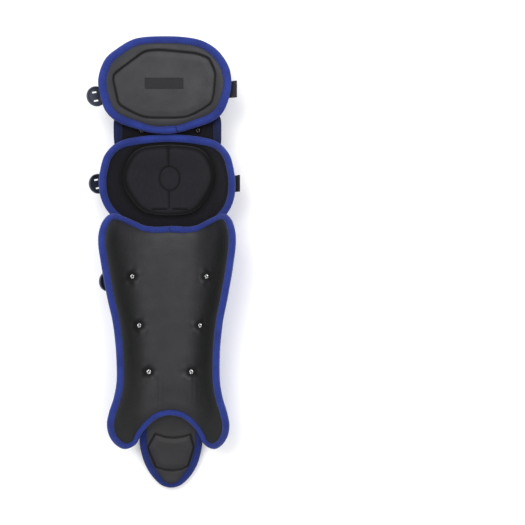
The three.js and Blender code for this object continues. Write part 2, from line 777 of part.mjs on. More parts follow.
// Webbing that holds the buckle discs on the outer side, and the folded loops on the inner side. start and
// edge are where the webbing begins and leaves its shell, as shares of half the knee width; free is bare
// webbing before the disc, in disc radii; tilt is how steeply the disc stands, in degrees.
const thighBuckleY = thighY - THIGH_LENGTH * 0.146;
const kneeBuckleY = KNEE_Y - KNEE_LENGTH * 0.07;
const shinBuckleY = shinTop - SHIN_LENGTH * 0.28;
const onCap = capBack + SLACK;
const BUCKLES = [
  {
    name: "thigh",
    width: THIGH_WIDTH,
    y: thighBuckleY,
    on: shellBack,
    in: shellFront,
    start: 0.577,
    edge: 0.834,
    free: 0,
    tilt: 28,
    drop: 1.2,
  },
  {
    name: "knee",
    width: KNEE_WIDTH,
    y: kneeBuckleY,
    on: onCap,
    in: capFront,
    start: 0.46,
    edge: 0.68,
    free: 0.27,
    tilt: 38,
    drop: 0,
  },
  {
    name: "shin",
    width: SHIN_WIDTH,
    y: shinBuckleY,
    on: shellBack,
    in: shellFront,
    start: 0.42,
    edge: 0.64,
    free: 0,
    tilt: 45,
    drop: 3.5,
  },
];
const LOOPS = [
  {
    name: "thigh",
    width: THIGH_WIDTH,
    y: thighY - THIGH_LENGTH * 0.07,
    on: shellBack,
    in: shellFront,
    start: 0.618,
    end: 0.927,
  },
  { name: "knee", width: KNEE_WIDTH, y: kneeBuckleY, on: onCap, in: capFront, start: 0.46, end: 0.81 },
];
const WEBBING_RIVET_X = 9;

// A strap that runs along the guard at x, through rows of y and depth of its inner face
function linkStrap(x, rows) {
  const columns = [-1, -1 / 3, 1 / 3, 1].map((share) => x + (share * WEBBING_WIDTH) / 2);
  const grid = (extra) => rows.map((row) => columns.map((column) => place(column, row.y, row.depth + extra)));
  return slab(grid(0), grid(STRAP));
}

const lameEndHigh = lameY + LAME_LENGTH * 0.4;
const lameEndLow = lameY - LAME_LENGTH * 0.68;
const UPPER_LINK = [
  { y: capUpperLinkY - LINK_END, depth: linkInCap },
  { y: capUpperLinkY + LINK_END, depth: linkInCap },
  { y: lameEndLow, depth: linkOnLame },
  { y: lameLinkY, depth: linkOnLame },
  { y: lameEndHigh, depth: linkOnLame },
  { y: thighLinkY - LINK_END, depth: linkOnShell },
  { y: thighLinkY + LINK_END, depth: linkOnShell },
];
const LOWER_LINK = [
  { y: shinLinkY - LINK_END, depth: linkOnShell },
  { y: shinLinkY + LINK_END, depth: linkOnShell },
  { y: kneeBottom - LINK_END, depth: linkInCap },
  { y: capLowerLinkY, depth: linkInCap },
  { y: capLowerLinkY + LINK_END, depth: linkInCap },
];

// Thigh: padded leather with a raised panel, its binding and its shell
const thigh = new THREE.Group();
const thighFront = panelFront(thighLoop, edgeFront, BORDER_DEPTH, GROOVE_DEPTH, 0, thighPanel, 1.05);
const thighShell = shellPlate(inset(thighLoop, SHELL_INSET), shellFront, shellBack, THIGH_ACROSS, THIGH_ALONG);
const side = (row, share) => (share * row.width) / 2;
const buckleHoles = (name) => [
  ...BUCKLES.filter((row) => row.name === name).map((row) => hole(WEBBING_RIVET_X - side(row, row.edge), row.y)),
  ...LOOPS.filter((row) => row.name === name).map((row) => hole(side(row, row.start) + WEBBING_RIVET_X, row.y)),
];
thigh.add(
  named("thigh_pad", plate(thighFront, padBack(thighLoop, PAD), THIGH_ACROSS, THIGH_ALONG), materials.leather),
  named("thigh_binding", binding(thighLoop, edgeFront, PAD), materials.binding),
  named(
    "thigh_shell",
    cut(thighShell, [...linkRivets.map((link) => hole(link.x, thighLinkY)), ...buckleHoles("thigh")]),
    materials.shell,
  ),
);

// Lame: thin lining, binding and shell
const lame = new THREE.Group();
const lameHoles = linkRivets.map((link) => hole(link.x, lameLinkY));
const lameLining = plate(padFront(lameLoop, lameFront), padBack(lameLoop, lameBack), 8, 3);
lame.add(
  named("lame_pad", cut(lameLining, lameHoles), materials.liner),
  named("lame_binding", binding(lameLoop, lameFront, lameBack), materials.binding),
  named("lame_shell", cut(shellPlate(lameShellLoop, lameShellFront, lameShellBack, 8, 3), lameHoles), materials.shell),
);

// Knee: brushed liner pad, the cushion in its hollow, binding and cap
const CUSHION_X = -1;
const CUSHION_Y = 4;
const BUTTON_GROOVE = 2.5;
const knee = new THREE.Group();
const cushionBack = deeper(kneeFront, -SLACK - CLEAR);
const cushionFront = deeper(cushionBack, -CUSHION);
const cushionRows = sized(CUSHION_OUTLINE, CUSHION_WIDTH, CUSHION_LENGTH, CUSHION_X, CUSHION_Y);
const cushionLoop = loopOf(cushionRows, 6, 5, deeper(cushionBack, -2));
const button = under(new THREE.Vector2(CUSHION_X, CUSHION_Y + 2), cushionFront);
const buttonRing = (radius, by) => ({ loop: roundLoop(cushionLoop, button, radius), depth: deeper(cushionFront, by) });
const cushion = plate(
  [
    { loop: cushionLoop, depth: deeper(cushionBack, -2) },
    { loop: inset(cushionLoop, 5), depth: deeper(cushionFront, 1.5) },
    buttonRing(BUTTON_RADIUS + BUTTON_GROOVE, 0),
    buttonRing(BUTTON_RADIUS, BUTTON_GROOVE),
    buttonRing(BUTTON_RADIUS - BUTTON_GROOVE, 0.5),
  ],
  [{ loop: cushionLoop, depth: cushionBack }],
  6,
  5,
);
const cap = shellPlate(capLoop, capFrontAt, capBackAt, CAP_ACROSS, CAP_ALONG);
const capHoles = linkRivets.flatMap((link) => [hole(link.x, capUpperLinkY), hole(link.x, capLowerLinkY)]);
knee.add(
  named("knee_pad", plate(padFront(kneeLoop, kneeFront), padBack(kneeLoop, kneeBack, kneeFill), 10, 6), materials.liner),
  named("knee_cushion", cushion, materials.liner),
  named("knee_binding", binding(kneeLoop, kneeFront, kneeBack), materials.binding),
  named("knee_shell", cut(cap, [...capHoles, ...buckleHoles("knee")]), materials.shell),
);

// Shin: long padded leather with six quilting rivets in puckers, binding and shell
const shin = new THREE.Group();
const shinPad = plate(padFront(shinLoop, edgeFront, 0), padBack(shinLoop, PAD), 10, SHIN_ALONG);
const shinShell = shellPlate(inset(shinLoop, SHELL_INSET), shellFront, shellBack, 10, SHIN_ALONG);
const quilting = shinRivets.map((row) => hole(row.x, row.y));
shin.add(
  named("shin_pad", cut(shinPad, [...quilting, ...shinRivets.map((row) => dimple(row.x, row.y))]), materials.leather),
  named("shin_binding", binding(shinLoop, edgeFront, PAD), materials.binding),
  named(
    "shin_shell",
    cut(shinShell, [
      ...quilting,
      ...instepRivets.map((row) => hole(row.x, row.y)),
      ...linkRivets.map((link) => hole(link.x, shinLinkY)),
    ]),
    materials.shell,
  ),
  ...shinRivets.map((row) => {
    const outer = row.takesWebbing ? linkOnShell + WEBBING : shellBack;
    return rivet(row.name, row.x, row.y, DIMPLE_DEPTH, outer);
  }),
);

// Instep: padded leather with a raised panel, binding and shell, hung from the shin shell
const instep = new THREE.Group();
const instepHoles = instepRivets.map((row) => hole(row.x, row.y));
const instepFace = panelFront(instepLoop, instepFront, instepFront - 1.5, instepFront, instepFront - 3, instepPanel, 1);
const instepShellLoop = inset(instepLoop, SHELL_INSET);
instep.add(
  named("instep_pad", cut(plate(instepFace, padBack(instepLoop, instepBack), 6, 6), instepHoles), materials.leather),
  named("instep_binding", binding(instepLoop, instepFront, instepBack), materials.binding),
  named(
    "instep_shell",
    cut(shellPlate(instepShellLoop, instepShellFront, instepShellBack, 6, 6), instepHoles),
    materials.shell,
  ),
  ...instepRivets.map((row) => rivet(row.name, row.x, row.y, shellFront - SEAT, instepShellBack, true)),
);

// Links: two straps down to the shin and two up over the lame to the thigh, each with its rivets
const links = new THREE.Group();
for (const { name, x } of linkRivets) {
  const upper = cut(linkStrap(x, UPPER_LINK), [hole(x, thighLinkY), hole(x, lameLinkY), hole(x, capUpperLinkY)]);
  const lower = cut(linkStrap(x, LOWER_LINK), [hole(x, capLowerLinkY), hole(x, shinLinkY)]);
  links.add(
    named(`upper_strap_${name}`, upper, materials.webbing),
    named(`lower_strap_${name}`, lower, materials.webbing),
    rivet(`thigh_rivet_${name}`, x, thighLinkY, shellFront - SEAT, linkOnShell + STRAP, true),
    rivet(`lame_rivet_${name}`, x, lameLinkY, lameFront - SEAT, linkOnLame + STRAP),
    rivet(`cap_upper_rivet_${name}`, x, capUpperLinkY, linkInCap, capBack, true),
    rivet(`cap_lower_rivet_${name}`, x, capLowerLinkY, linkInCap, capBack, true),
    rivet(`shin_strap_rivet_${name}`, x, shinLinkY, shellFront - SEAT, linkOnShell + STRAP, true),
  );
}

// The frame of a buckle disc: its middle, the way outwards along it, and its normal
function discFrame(row) {
  const depth = row.on + CLEAR + WEBBING + FIT + DISC_THICKNESS / 2 + row.drop;
  const tilt = THREE.MathUtils.degToRad(row.tilt);
  const outward = new THREE.Vector3(-Math.cos(tilt), 0, Math.sin(tilt));
  const up = new THREE.Vector3(Math.sin(tilt), 0, Math.cos(tilt));
  const middle = place(-side(row, row.edge), row.y, depth);
  middle.addScaledVector(outward, DISC_RADIUS * (1 + row.free));
  return { middle, outward, up };
}

// A round disc with a raised rim, two slots and a rivet hole near its inner edge
const SLOT_TURN = 13;
const DISC_RIVET_OUT = -9.5;
const WEBBING_STOP = -5;
function buckleDisc() {
  const half = DISC_THICKNESS / 2;
  const profile = [
    new THREE.Vector2(0, -half),
    new THREE.Vector2(DISC_RADIUS, -half),
    new THREE.Vector2(DISC_RADIUS, half),
    new THREE.Vector2(DISC_RADIUS - DISC_RIM, half),
    new THREE.Vector2(DISC_RADIUS - DISC_RIM - 1, 0.6),
    new THREE.Vector2(0, 0.6),
  ];
  const slots = [-1, 1].map((way) => {
    const slot = new THREE.BoxGeometry(SLOT_LENGTH, SLOT_WIDTH, 3 * DISC_THICKNESS);
    slot.translate(SLOT_LENGTH * 0.2, (way * SLOT_PITCH) / 2, 0);
    return slot.rotateZ(THREE.MathUtils.degToRad(SLOT_TURN));
  });
  const pinHole = drill().translate(DISC_RIVET_OUT, 0, 0);
  return cut(new THREE.LatheGeometry(profile, 20).rotateX(Math.PI / 2), [...slots, pinHole]);
}

// Buckles: a piece of webbing riveted to the shell, with a disc riveted under its free end
const buckles = new THREE.Group();
for (const row of BUCKLES) {
  const { middle, outward, up } = discFrame(row);
  const across = new THREE.Vector3(0, 1, 0);
  const basis = new THREE.Matrix4().makeBasis(outward, new THREE.Vector3().crossVectors(up, outward), up);
  const shares = [0, 0.35, 0.7, 1].map((share) => -side(row, row.start + (row.edge - row.start) * share));
  const lift = DISC_THICKNESS / 2 + FIT;
  const edges = [-1, 1].map((way) => (way * WEBBING_WIDTH) / 2);
  const seated = (extra) =>
    shares.map((x) => edges.map((edge) => place(x, row.y + edge, row.on + CLEAR + WEBBING - extra)));
  const free = (extra) =>
    [-DISC_RADIUS + 1.5, WEBBING_STOP].map((out) =>
      edges.map((edge) => {
        const point = middle.clone().addScaledVector(outward, out).addScaledVector(up, lift + extra);
        return point.addScaledVector(across, edge);
      }),
    );
  const webbing = slab([...seated(WEBBING), ...free(WEBBING)], [...seated(0), ...free(0)]);
  const rivetX = WEBBING_RIVET_X - side(row, row.edge);
  const discHole = drill().translate(DISC_RIVET_OUT, 0, 0).applyMatrix4(basis.clone().setPosition(middle));
  const disc = named(`${row.name}_disc`, buckleDisc(), materials.disc);
  disc.quaternion.setFromRotationMatrix(basis);
  disc.position.copy(middle);
  const pin = rivet(`${row.name}_disc_rivet`, 0, 0, 0, WEBBING + DISC_THICKNESS + FIT, true);
  pin.quaternion.setFromRotationMatrix(basis);
  pin.position.copy(middle).addScaledVector(outward, DISC_RIVET_OUT).addScaledVector(up, -DISC_THICKNESS / 2 - FIT);
  const shared = shinRivets.find((shinRivet) => shinRivet.takesWebbing);
  const seatHole = row.name === "shin" ? hole(shared.x, shared.y) : hole(rivetX, row.y);
  buckles.add(named(`${row.name}_disc_webbing`, cut(webbing, [seatHole, discHole]), materials.webbing), disc, pin);
  if (row.name !== "shin") {
    const outer = row.on + CLEAR + WEBBING;
    buckles.add(rivet(`${row.name}_webbing_rivet`, rivetX, row.y, row.in - SEAT, outer, true));
  }
}

// Folded webbing loops on the inner side, riveted to the shell and standing out past the binding
for (const row of LOOPS) {
  const shares = [0, 0.2, 0.4, 0.6, 0.8, 1].map((share) => side(row, row.start + (row.end - row.start) * share));
  const grid = (depth) =>
    shares.map((x) => [-1, 1].map((way) => place(x, row.y + (way * WEBBING_WIDTH) / 2, depth)));
  const rivetX = side(row, row.start) + WEBBING_RIVET_X;
  const loop = slab(grid(row.on + CLEAR), grid(row.on + CLEAR + 2 * STRAP));
  buckles.add(
    named(`${row.name}_loop`, cut(loop, [hole(rivetX, row.y)]), materials.webbing),
    rivet(`${row.name}_loop_rivet`, rivetX, row.y, row.in - SEAT, row.on + CLEAR + 2 * STRAP, true),
  );
}

// The origin is at the middle of the guard's length and width, on the surface that it lies on
const guard = new THREE.Group();
guard.add(thigh, lame, knee, shin, instep, links, buckles);
guard.updateMatrixWorld(true);
const box = new THREE.Box3().setFromObject(guard, true);
const middle = box.getCenter(new THREE.Vector3());
guard.position.set(-middle.x, -middle.y, -box.min.z);

export default guard;
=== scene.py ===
"""A catcher's leg guard, lying with the side that meets the leg up, dressed for a studio photograph."""

import math

import bmesh
import bpy
import numpy as np
from mathutils import Matrix, Vector
from mathutils.kdtree import KDTree


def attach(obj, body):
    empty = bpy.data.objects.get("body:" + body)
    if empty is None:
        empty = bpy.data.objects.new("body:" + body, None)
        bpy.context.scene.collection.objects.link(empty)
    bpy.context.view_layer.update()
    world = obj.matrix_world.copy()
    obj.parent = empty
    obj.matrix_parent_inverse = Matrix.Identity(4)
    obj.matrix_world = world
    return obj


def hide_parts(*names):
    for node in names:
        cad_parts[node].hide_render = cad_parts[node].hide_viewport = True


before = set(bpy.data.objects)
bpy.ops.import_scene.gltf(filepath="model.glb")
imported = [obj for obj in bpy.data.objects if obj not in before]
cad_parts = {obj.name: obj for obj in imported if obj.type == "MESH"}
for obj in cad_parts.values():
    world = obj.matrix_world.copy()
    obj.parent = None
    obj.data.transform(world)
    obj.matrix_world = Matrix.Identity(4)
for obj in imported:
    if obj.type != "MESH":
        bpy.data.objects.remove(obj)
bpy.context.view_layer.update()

# Sizes are in millimetres, as the solids were drawn; MM turns them into metres.
MM = 0.001
SHIFT = np.array([7.154, 126.511, 0.0])

THIGH_WIDTH, THIGH_LENGTH = 200, 142
LAME_WIDTH, LAME_LENGTH = 164, 60
KNEE_WIDTH, KNEE_LENGTH = 206, 135
CUSHION_WIDTH, CUSHION_LENGTH = 138, 100
BUTTON_RADIUS = 15.5
SHIN_WIDTH, SHIN_LENGTH = 206, 356
INSTEP_WIDTH, INSTEP_LENGTH = 98, 153
CAP_WIDTH, CAP_LENGTH = 172, 152
KNEE_Y, THIGH_GAP, SHIN_OVERLAP, INSTEP_REACH = 5.5, 3, 12, 65
THIGH_ASIDE, KNEE_ASIDE = -4, -1
KNEE_TOP = KNEE_Y + KNEE_LENGTH / 2
KNEE_BOTTOM = KNEE_Y - KNEE_LENGTH / 2
THIGH_Y = KNEE_TOP + THIGH_GAP + THIGH_LENGTH / 2
LAME_Y = KNEE_TOP + THIGH_GAP / 2
SHIN_TOP = KNEE_BOTTOM + SHIN_OVERLAP
TOE = SHIN_TOP - SHIN_LENGTH - INSTEP_REACH
INSTEP_Y = TOE + INSTEP_LENGTH / 2
UPPER_REACH = THIGH_Y + THIGH_LENGTH / 2

PAD, EDGE, LINING, INSTEP_PAD, KNEE_EDGE, CUSHION = 9, 5.6, 2, 5, 4, 8
CLOTH, BINDING_WIDTH, SHELL, STRAP, WEBBING, WEBBING_WIDTH = 1.2, 10, 2.6, 1.5, 2, 25
FIT, CLEAR, SLACK, SEAT = 0.4, 0.5, 1.3, 1.0
SIDE_RISE, BOW, FLAT_SHARE = 64, 56, 0.2
DISC_RADIUS, DISC_THICKNESS, DISC_RIM = 15, 4, 2.5
RIVET_RADIUS, SHANK_RADIUS, HEAD_HEIGHT, TAIL_RADIUS, TAIL_HEIGHT = 4.2, 2, 1.8, 3.6, 0.6
DIMPLE_DEPTH = 5
LINK_X = 0.3786 * KNEE_WIDTH / 2
HEAD_FOOT, SPLIT_DARK, RING_INNER, RING_OUTER = 0.25, -0.3, 0.9, 3.6
PRONGS, PETAL_DEPTH, PETAL_WIDTH = 5, 0.9, 0.3
DOME_SEGMENTS, SPLIT_SEGMENTS, DISC_SEGMENTS = 32, 60, 72
WEBBING_ROUND, WEBBING_AXIS = 0.4, np.array([0.0, 1.0, 0.0])
GROOVE_SHADE_WIDTH, RIM_BAND, THREAD_OVER = 1.35, 0.9, 1.75

# Faces that meet at more than these angles, in degrees, stay sharp
SHELL_ANGLE, WEBBING_ANGLE, TAPE_ANGLE, PAD_ANGLE = 38, 50, 70, 80
# How a point is searched from its place in the view, and how far corners soften a loop's directions
SEARCH_STEPS, SEARCH_SHARE, CORNER_REACH = 30, 0.7, 9

WRAP = FIT + CLOTH
EDGE_FRONT = PAD - EDGE
PAD_WRAP_BACK = PAD + WRAP
SHELL_FRONT = PAD_WRAP_BACK + CLEAR
SHELL_BACK = SHELL_FRONT + SHELL
LINK_ON_SHELL = SHELL_BACK + CLEAR
KNEE_LOW_FRONT = PAD_WRAP_BACK + SLACK + WRAP
KNEE_LOW_BACK = KNEE_LOW_FRONT + KNEE_EDGE
KNEE_HIGH_FRONT = SHELL_BACK - WRAP - KNEE_EDGE
LINK_IN_CAP = KNEE_LOW_BACK + WRAP + CLEAR
CAP_FRONT = LINK_IN_CAP + STRAP + SLACK
CAP_BACK = CAP_FRONT + SHELL
LAME_FRONT = SHELL_BACK + SLACK + WRAP
LAME_BACK = LAME_FRONT + LINING
LAME_SHELL_FRONT = LAME_BACK + WRAP + CLEAR
LAME_SHELL_BACK = LAME_SHELL_FRONT + SHELL
LINK_ON_LAME = LAME_SHELL_BACK + 2 * CLEAR
CAP_FLARE_FRONT = LINK_ON_LAME + STRAP + 2 * SLACK
INSTEP_FRONT = SHELL_BACK + SLACK + WRAP
INSTEP_BACK = INSTEP_FRONT + INSTEP_PAD
INSTEP_SHELL_FRONT = INSTEP_BACK + WRAP + CLEAR
INSTEP_SHELL_BACK = INSTEP_SHELL_FRONT + SHELL

# Sections of the master surface: along, depth of the layer on the floor, bow, half width and rise as shares
SECTIONS = [
    (-1.0, 0, 0.52, 0.8, 0.46),
    (-0.94, INSTEP_SHELL_BACK, 0, 0.82, 0.48),
    (-0.82, INSTEP_SHELL_BACK, 0, 0.83, 0.58),
    (-0.745, 0, 0.53, 0.81, 0.66),
    (-0.66, 0, 0.54, 0.78, 0.76),
    (-0.574, 0, 0.54, 0.77, 0.84),
    (-0.426, 0, 0.53, 0.83, 0.94),
    (-0.255, 0, 0.52, 0.96, 1.03),
    (-0.13, 0, 0.5, 0.97, 1.03),
    (-0.043, CAP_BACK, 0, 0.94, 1.0),
    (0.05, CAP_BACK, 0, 0.93, 0.98),
    (0.2, 0, 0.6, 0.93, 0.9),
    (0.37, 0, 0.8, 0.95, 0.68),
    (0.55, 0, 0.88, 0.97, 0.54),
    (0.78, 0, 0.94, 0.97, 0.44),
    (1.0, 0, 1.0, 0.97, 0.36),
]

# Outlines as x and y shares of half the width and length; a third value marks where a side of the net ends
# The knee pad's soft lower lip hangs behind the top of the shin pad
KNEE_OUTLINE = [
    (0, -1.22), (0.3, -1.2), (0.55, -1.12), (0.75, -0.99), (0.89, -0.78, 1), (0.975, -0.5), (1, -0.17),
    (0.98, 0.13), (0.91, 0.5), (0.75, 0.78, 1), (0.48, 0.93), (0, 1),
]
LAME_OUTLINE = [
    (0, -1), (0.78, -1), (0.96, -0.82, 1), (1, 0), (0.96, 0.82, 1), (0.78, 1), (0, 1),
]
CAP_OUTLINE = [
    (0, -1), (0.6, -0.96), (0.9, -0.72, 1), (1, -0.2), (0.98, 0.4), (0.84, 0.8, 1), (0.5, 0.98), (0, 1),
]
INSTEP_OUTLINE = [
    (0, -1), (0.28, -0.96), (0.57, -0.8, 1), (0.81, -0.555), (0.95, -0.28), (1, -0.06), (0.96, 0.45),
    (0.76, 0.84, 1), (0.4, 0.98), (0, 1),
]
# The shin's y is the share of its length from the top corners down
SHIN_OUTLINE = [
    (0, 0.861), (0.2, 0.875), (0.38, 0.916), (0.47, 0.952), (0.52, 0.98), (0.6, 0.996), (0.7, 0.999),
    (0.8, 0.978, 1), (0.877, 0.94), (0.903, 0.89), (0.869, 0.835), (0.806, 0.777), (0.767, 0.716),
    (0.759, 0.649), (0.771, 0.556), (0.814, 0.447), (0.874, 0.362), (0.956, 0.2275), (1, 0.12),
    (0.988, 0.07), (0.942, 0.028, 1), (0.883, 0.006), (0.825, 0), (0.75, 0.006), (0.534, 0.032),
    (0.41, 0.047), (0.233, 0.053), (0, 0.0506),
]
THIGH_OUTLINE = [
    (-0.9, -0.62, 1), (-0.77, -0.8), (-0.48, -0.93), (-0.21, -1), (0.105, -1), (0.42, -0.91),
    (0.75, -0.77), (0.88, -0.62, 1), (0.99, -0.21), (1, 0.08), (0.958, 0.33), (0.817, 0.64, 1),
    (0.64, 0.84), (0.43, 0.95), (0, 1), (-0.47, 0.94), (-0.74, 0.71, 1), (-0.905, 0.47), (-1, 0.045),
    (-0.975, -0.29),
]
CUSHION_OUTLINE = [
    (-0.8, -0.66, 1), (-0.5, -1), (0.46, -1), (0.76, -0.66, 1), (1, 0.02), (0.86, 0.68, 1),
    (0.58, 0.96), (-0.57, 0.96), (-0.83, 0.67, 1), (-1, 0),
]
THIGH_PANEL = [
    (-0.69, -0.48), (-0.34, -0.72), (0.3, -0.72), (0.7, -0.44), (0.75, 0.19), (0.65, 0.52), (0.44, 0.64),
    (-0.1, 0.71), (-0.33, 0.68), (-0.78, 0.15), (-0.73, -0.21),
]
INSTEP_PANEL = [
    (-0.48, -0.6), (-0.22, -0.645), (0.08, -0.66), (0.34, -0.635), (0.54, -0.57), (0.72, -0.19),
    (0.61, 0.07), (0.36, 0.02), (0.08, 0), (-0.22, 0.02), (-0.5, 0.08), (-0.74, -0.2),
]


def monotone(xs, values):
    """A smooth curve through the values that never overshoots them."""
    xs = np.array(xs, float)
    values = np.array(values, float)
    slopes = np.diff(values) / np.diff(xs)
    tangents = np.zeros(len(xs))
    for i in range(1, len(xs) - 1):
        before, after = slopes[i - 1], slopes[i]
        if before * after > 0:
            tangents[i] = 2 * before * after / (before + after)

    def curve(x):
        at = np.clip(x, xs[0], xs[-1])
        i = np.clip(np.searchsorted(xs, at, side="right") - 1, 0, len(xs) - 2)
        step = xs[i + 1] - xs[i]
        t = (at - xs[i]) / step
        keep = (1 + 2 * t) * (1 - t) ** 2 * values[i] + t * t * (3 - 2 * t) * values[i + 1]
        return keep + step * (t * (1 - t) ** 2 * tangents[i] + t * t * (t - 1) * tangents[i + 1])

    return curve


STATIONS = [row[0] * (UPPER_REACH if row[0] > 0 else -TOE) for row in SECTIONS]
middle_at = monotone(STATIONS, [row[1] + row[2] * BOW for row in SECTIONS])
half_at = monotone(STATIONS, [row[3] * KNEE_WIDTH / 2 for row in SECTIONS])
rise_at = monotone(STATIONS, [row[4] * SIDE_RISE for row in SECTIONS])


def height(x, y):
    """Height of the master surface, the face that meets the leg."""
    out = np.maximum(0, (np.abs(x) / half_at(y) - FLAT_SHARE) / (1 - FLAT_SHARE))
    return middle_at(y) + rise_at(y) * out * out


def slope(points):
    step = 0.5
    x, y = points[:, 0], points[:, 1]
    along_x = (height(x + step, y) - height(x - step, y)) / (2 * step)
    along_y = (height(x, y + step) - height(x, y - step)) / (2 * step)
    return np.stack([along_x, along_y], 1)


def normals(points):
    """Unit normals of the master surface, towards the leg."""
    climb = slope(points)
    up = np.concatenate([-climb, np.ones((len(points), 1))], 1)
    return up / np.linalg.norm(up, axis=1, keepdims=True)


def depth_at(depth, points):
    """A depth for every point, from a function, a list of depths or one depth for all."""
    return depth(points) if callable(depth) else np.broadcast_to(np.asarray(depth, float), len(points))


def deeper(depth, by):
    return lambda points: depth_at(depth, points) + by


def place(points, depth):
    """Points that lie `depth` outwards from the master surface."""
    points = np.atleast_2d(np.asarray(points, float))
    base = np.concatenate([points, height(points[:, 0], points[:, 1])[:, None]], 1)
    return base - normals(points) * depth_at(depth, points)[:, None]


def under(seen, depth):
    """The points on the master surface whose layer at `depth` is seen at `seen` from above."""
    seen = np.atleast_2d(np.asarray(seen, float))
    found = seen.copy()
    for _ in range(SEARCH_STEPS):
        found += SEARCH_SHARE * (seen - place(found, depth)[:, :2])
    return found


def closed_curve(rows, per):
    """A centripetal curve through rows of x, y, with `per` points for each row."""
    points = np.array([row[:2] for row in rows], float)
    count = len(points)
    result = []
    for i in range(count):
        p = [points[(i + k) % count] for k in (-1, 0, 1, 2)]
        t = [0.0]
        for k in range(3):
            t.append(t[-1] + np.linalg.norm(p[k + 1] - p[k]) ** 0.5)
        at = np.linspace(t[1], t[2], per, endpoint=False)[:, None]
        a = [((t[k + 1] - at) * p[k] + (at - t[k]) * p[k + 1]) / (t[k + 1] - t[k]) for k in range(3)]
        b = [((t[k + 2] - at) * a[k] + (at - t[k]) * a[k + 1]) / (t[k + 2] - t[k]) for k in range(2)]
        result.append(((t[2] - at) * b[0] + (at - t[1]) * b[1]) / (t[2] - t[1]))
    return np.concatenate(result)


def resampled(line, count):
    """`count` points at equal distances along an open line, without its last point."""
    lengths = np.concatenate([[0], np.cumsum(np.linalg.norm(np.diff(line, axis=0), axis=1))])
    targets = np.linspace(0, lengths[-1], count, endpoint=False)
    return np.stack([np.interp(targets, lengths, line[:, k]) for k in range(line.shape[1])], 1)


def mirrored(half):
    """Both halves of a symmetric outline, starting at its lower left corner."""
    whole = half + [(-row[0], *row[1:]) for row in reversed(half[1:-1])]
    start = max(i for i, row in enumerate(whole) if len(row) > 2)
    return whole[start:] + whole[:start]


def sized(rows, width, length, x, y):
    return [(x + row[0] * width / 2, y + row[1] * length / 2, *row[2:]) for row in rows]


def loop_of(rows, across, along, depth):
    """A closed loop with `across` points on its lower and upper sides and `along` on the others."""
    per = 40
    curve = closed_curve(rows, per)
    corners = [i * per for i, row in enumerate(rows) if len(row) > 2] + [len(curve)]
    curve = np.concatenate([curve, curve[:1]])
    sides = [resampled(curve[corners[k] : corners[k + 1] + 1], (across, along)[k % 2]) for k in range(4)]
    return under(np.concatenate(sides), depth)


def smoothed(values, width):
    """A closed run of rows averaged over `width` rows either way."""
    total = values.copy()
    for k in range(1, width + 1):
        total += np.roll(values, k, 0) + np.roll(values, -k, 0)
    return total / (2 * width + 1)


def inset(loop, distance):
    """A loop moved sideways along the master surface, inwards where `distance` is positive."""
    ahead = np.roll(loop, -1, 0) - np.roll(loop, 1, 0)
    inward = np.stack([-ahead[:, 1], ahead[:, 0]], 1)
    inward /= np.linalg.norm(inward, axis=1, keepdims=True)
    spacing = np.linalg.norm(ahead, axis=1).mean() / 2
    inward = smoothed(inward, max(1, int(CORNER_REACH / spacing)))
    inward /= np.linalg.norm(inward, axis=1, keepdims=True)
    climb = (slope(loop) * inward).sum(1)
    return loop + inward * (distance / np.hypot(1, climb))[:, None]


def pad_loop(rows, across, along, wrap_back):
    return inset(loop_of(rows, across, along, wrap_back), WRAP)


def net_of(loop, across, along):
    """The points inside a four-sided loop, blended from its sides, row by row from the lower side."""
    lower = loop[: across + 1]
    right = loop[across : across + along + 1]
    upper = loop[across + along : 2 * across + along + 1][::-1]
    left = np.concatenate([loop[2 * across + along :], loop[:1]])[::-1]
    u = np.linspace(0, 1, across + 1)[None, :, None]
    v = np.linspace(0, 1, along + 1)[:, None, None]
    sides = (1 - v) * lower[None] + v * upper[None] + (1 - u) * left[:, None] + u * right[:, None]
    floor = (1 - u) * lower[0] + u * lower[-1]
    ceiling = (1 - u) * upper[0] + u * upper[-1]
    return sides - (1 - v) * floor - v * ceiling


def rim_distance(points, loop):
    """Distance of points from a loop, measured on the master surface, in millimetres."""
    dense = np.concatenate([loop + (np.roll(loop, -1, 0) - loop) * share for share in (0, 0.25, 0.5, 0.75)])
    rim = place(dense, 0)
    tree = KDTree(len(rim))
    for i, point in enumerate(rim):
        tree.insert(point, i)
    tree.balance()
    return np.array([tree.find(point)[2] for point in place(points, 0)])


def edge_distance(points, corners):
    """Distance of points from the edges of a polygon, negative inside it."""
    best = np.full(len(points), np.inf)
    inside = np.zeros(len(points), bool)
    for a, b in zip(corners, np.roll(corners, -1, 0)):
        edge = b - a
        share = np.clip(((points - a) @ edge) / (edge @ edge), 0, 1)
        best = np.minimum(best, np.linalg.norm(points - a - share[:, None] * edge, axis=1))
        crosses = (a[1] > points[:, 1]) != (b[1] > points[:, 1])
        reach = a[0] + (points[:, 1] - a[1]) * edge[0] / (edge[1] if edge[1] else 1e-9)
        inside ^= crosses & (points[:, 0] < reach)
    return np.where(inside, -best, best)


def softened(corners, share=0.14):
    """A polygon with its corners cut twice, so that they run round."""
    for _ in range(2):
        after = np.roll(corners, -1, 0)
        pair = np.stack([corners + (after - corners) * share, after + (corners - after) * share], 1)
        corners = pair.reshape(-1, 2)
        share = 0.25
    return corners


def smooth(value, low, high):
    share = np.clip((value - low) / (high - low), 0, 1)
    return share * share * (3 - 2 * share)


def bump(value, width):
    return np.exp(-((value / width) ** 2))


def waver(points, scale, seed):
    """A soft unevenness between -1 and 1, from a few waves in different directions."""
    rng = np.random.default_rng(seed)
    total = np.zeros(len(points))
    for _ in range(6):
        turn = rng.uniform(0, math.tau)
        period = scale * rng.uniform(0.6, 1.6)
        along = points @ np.array([math.cos(turn), math.sin(turn)])
        total += np.sin(along * math.tau / period + rng.uniform(0, math.tau))
    return total / 6


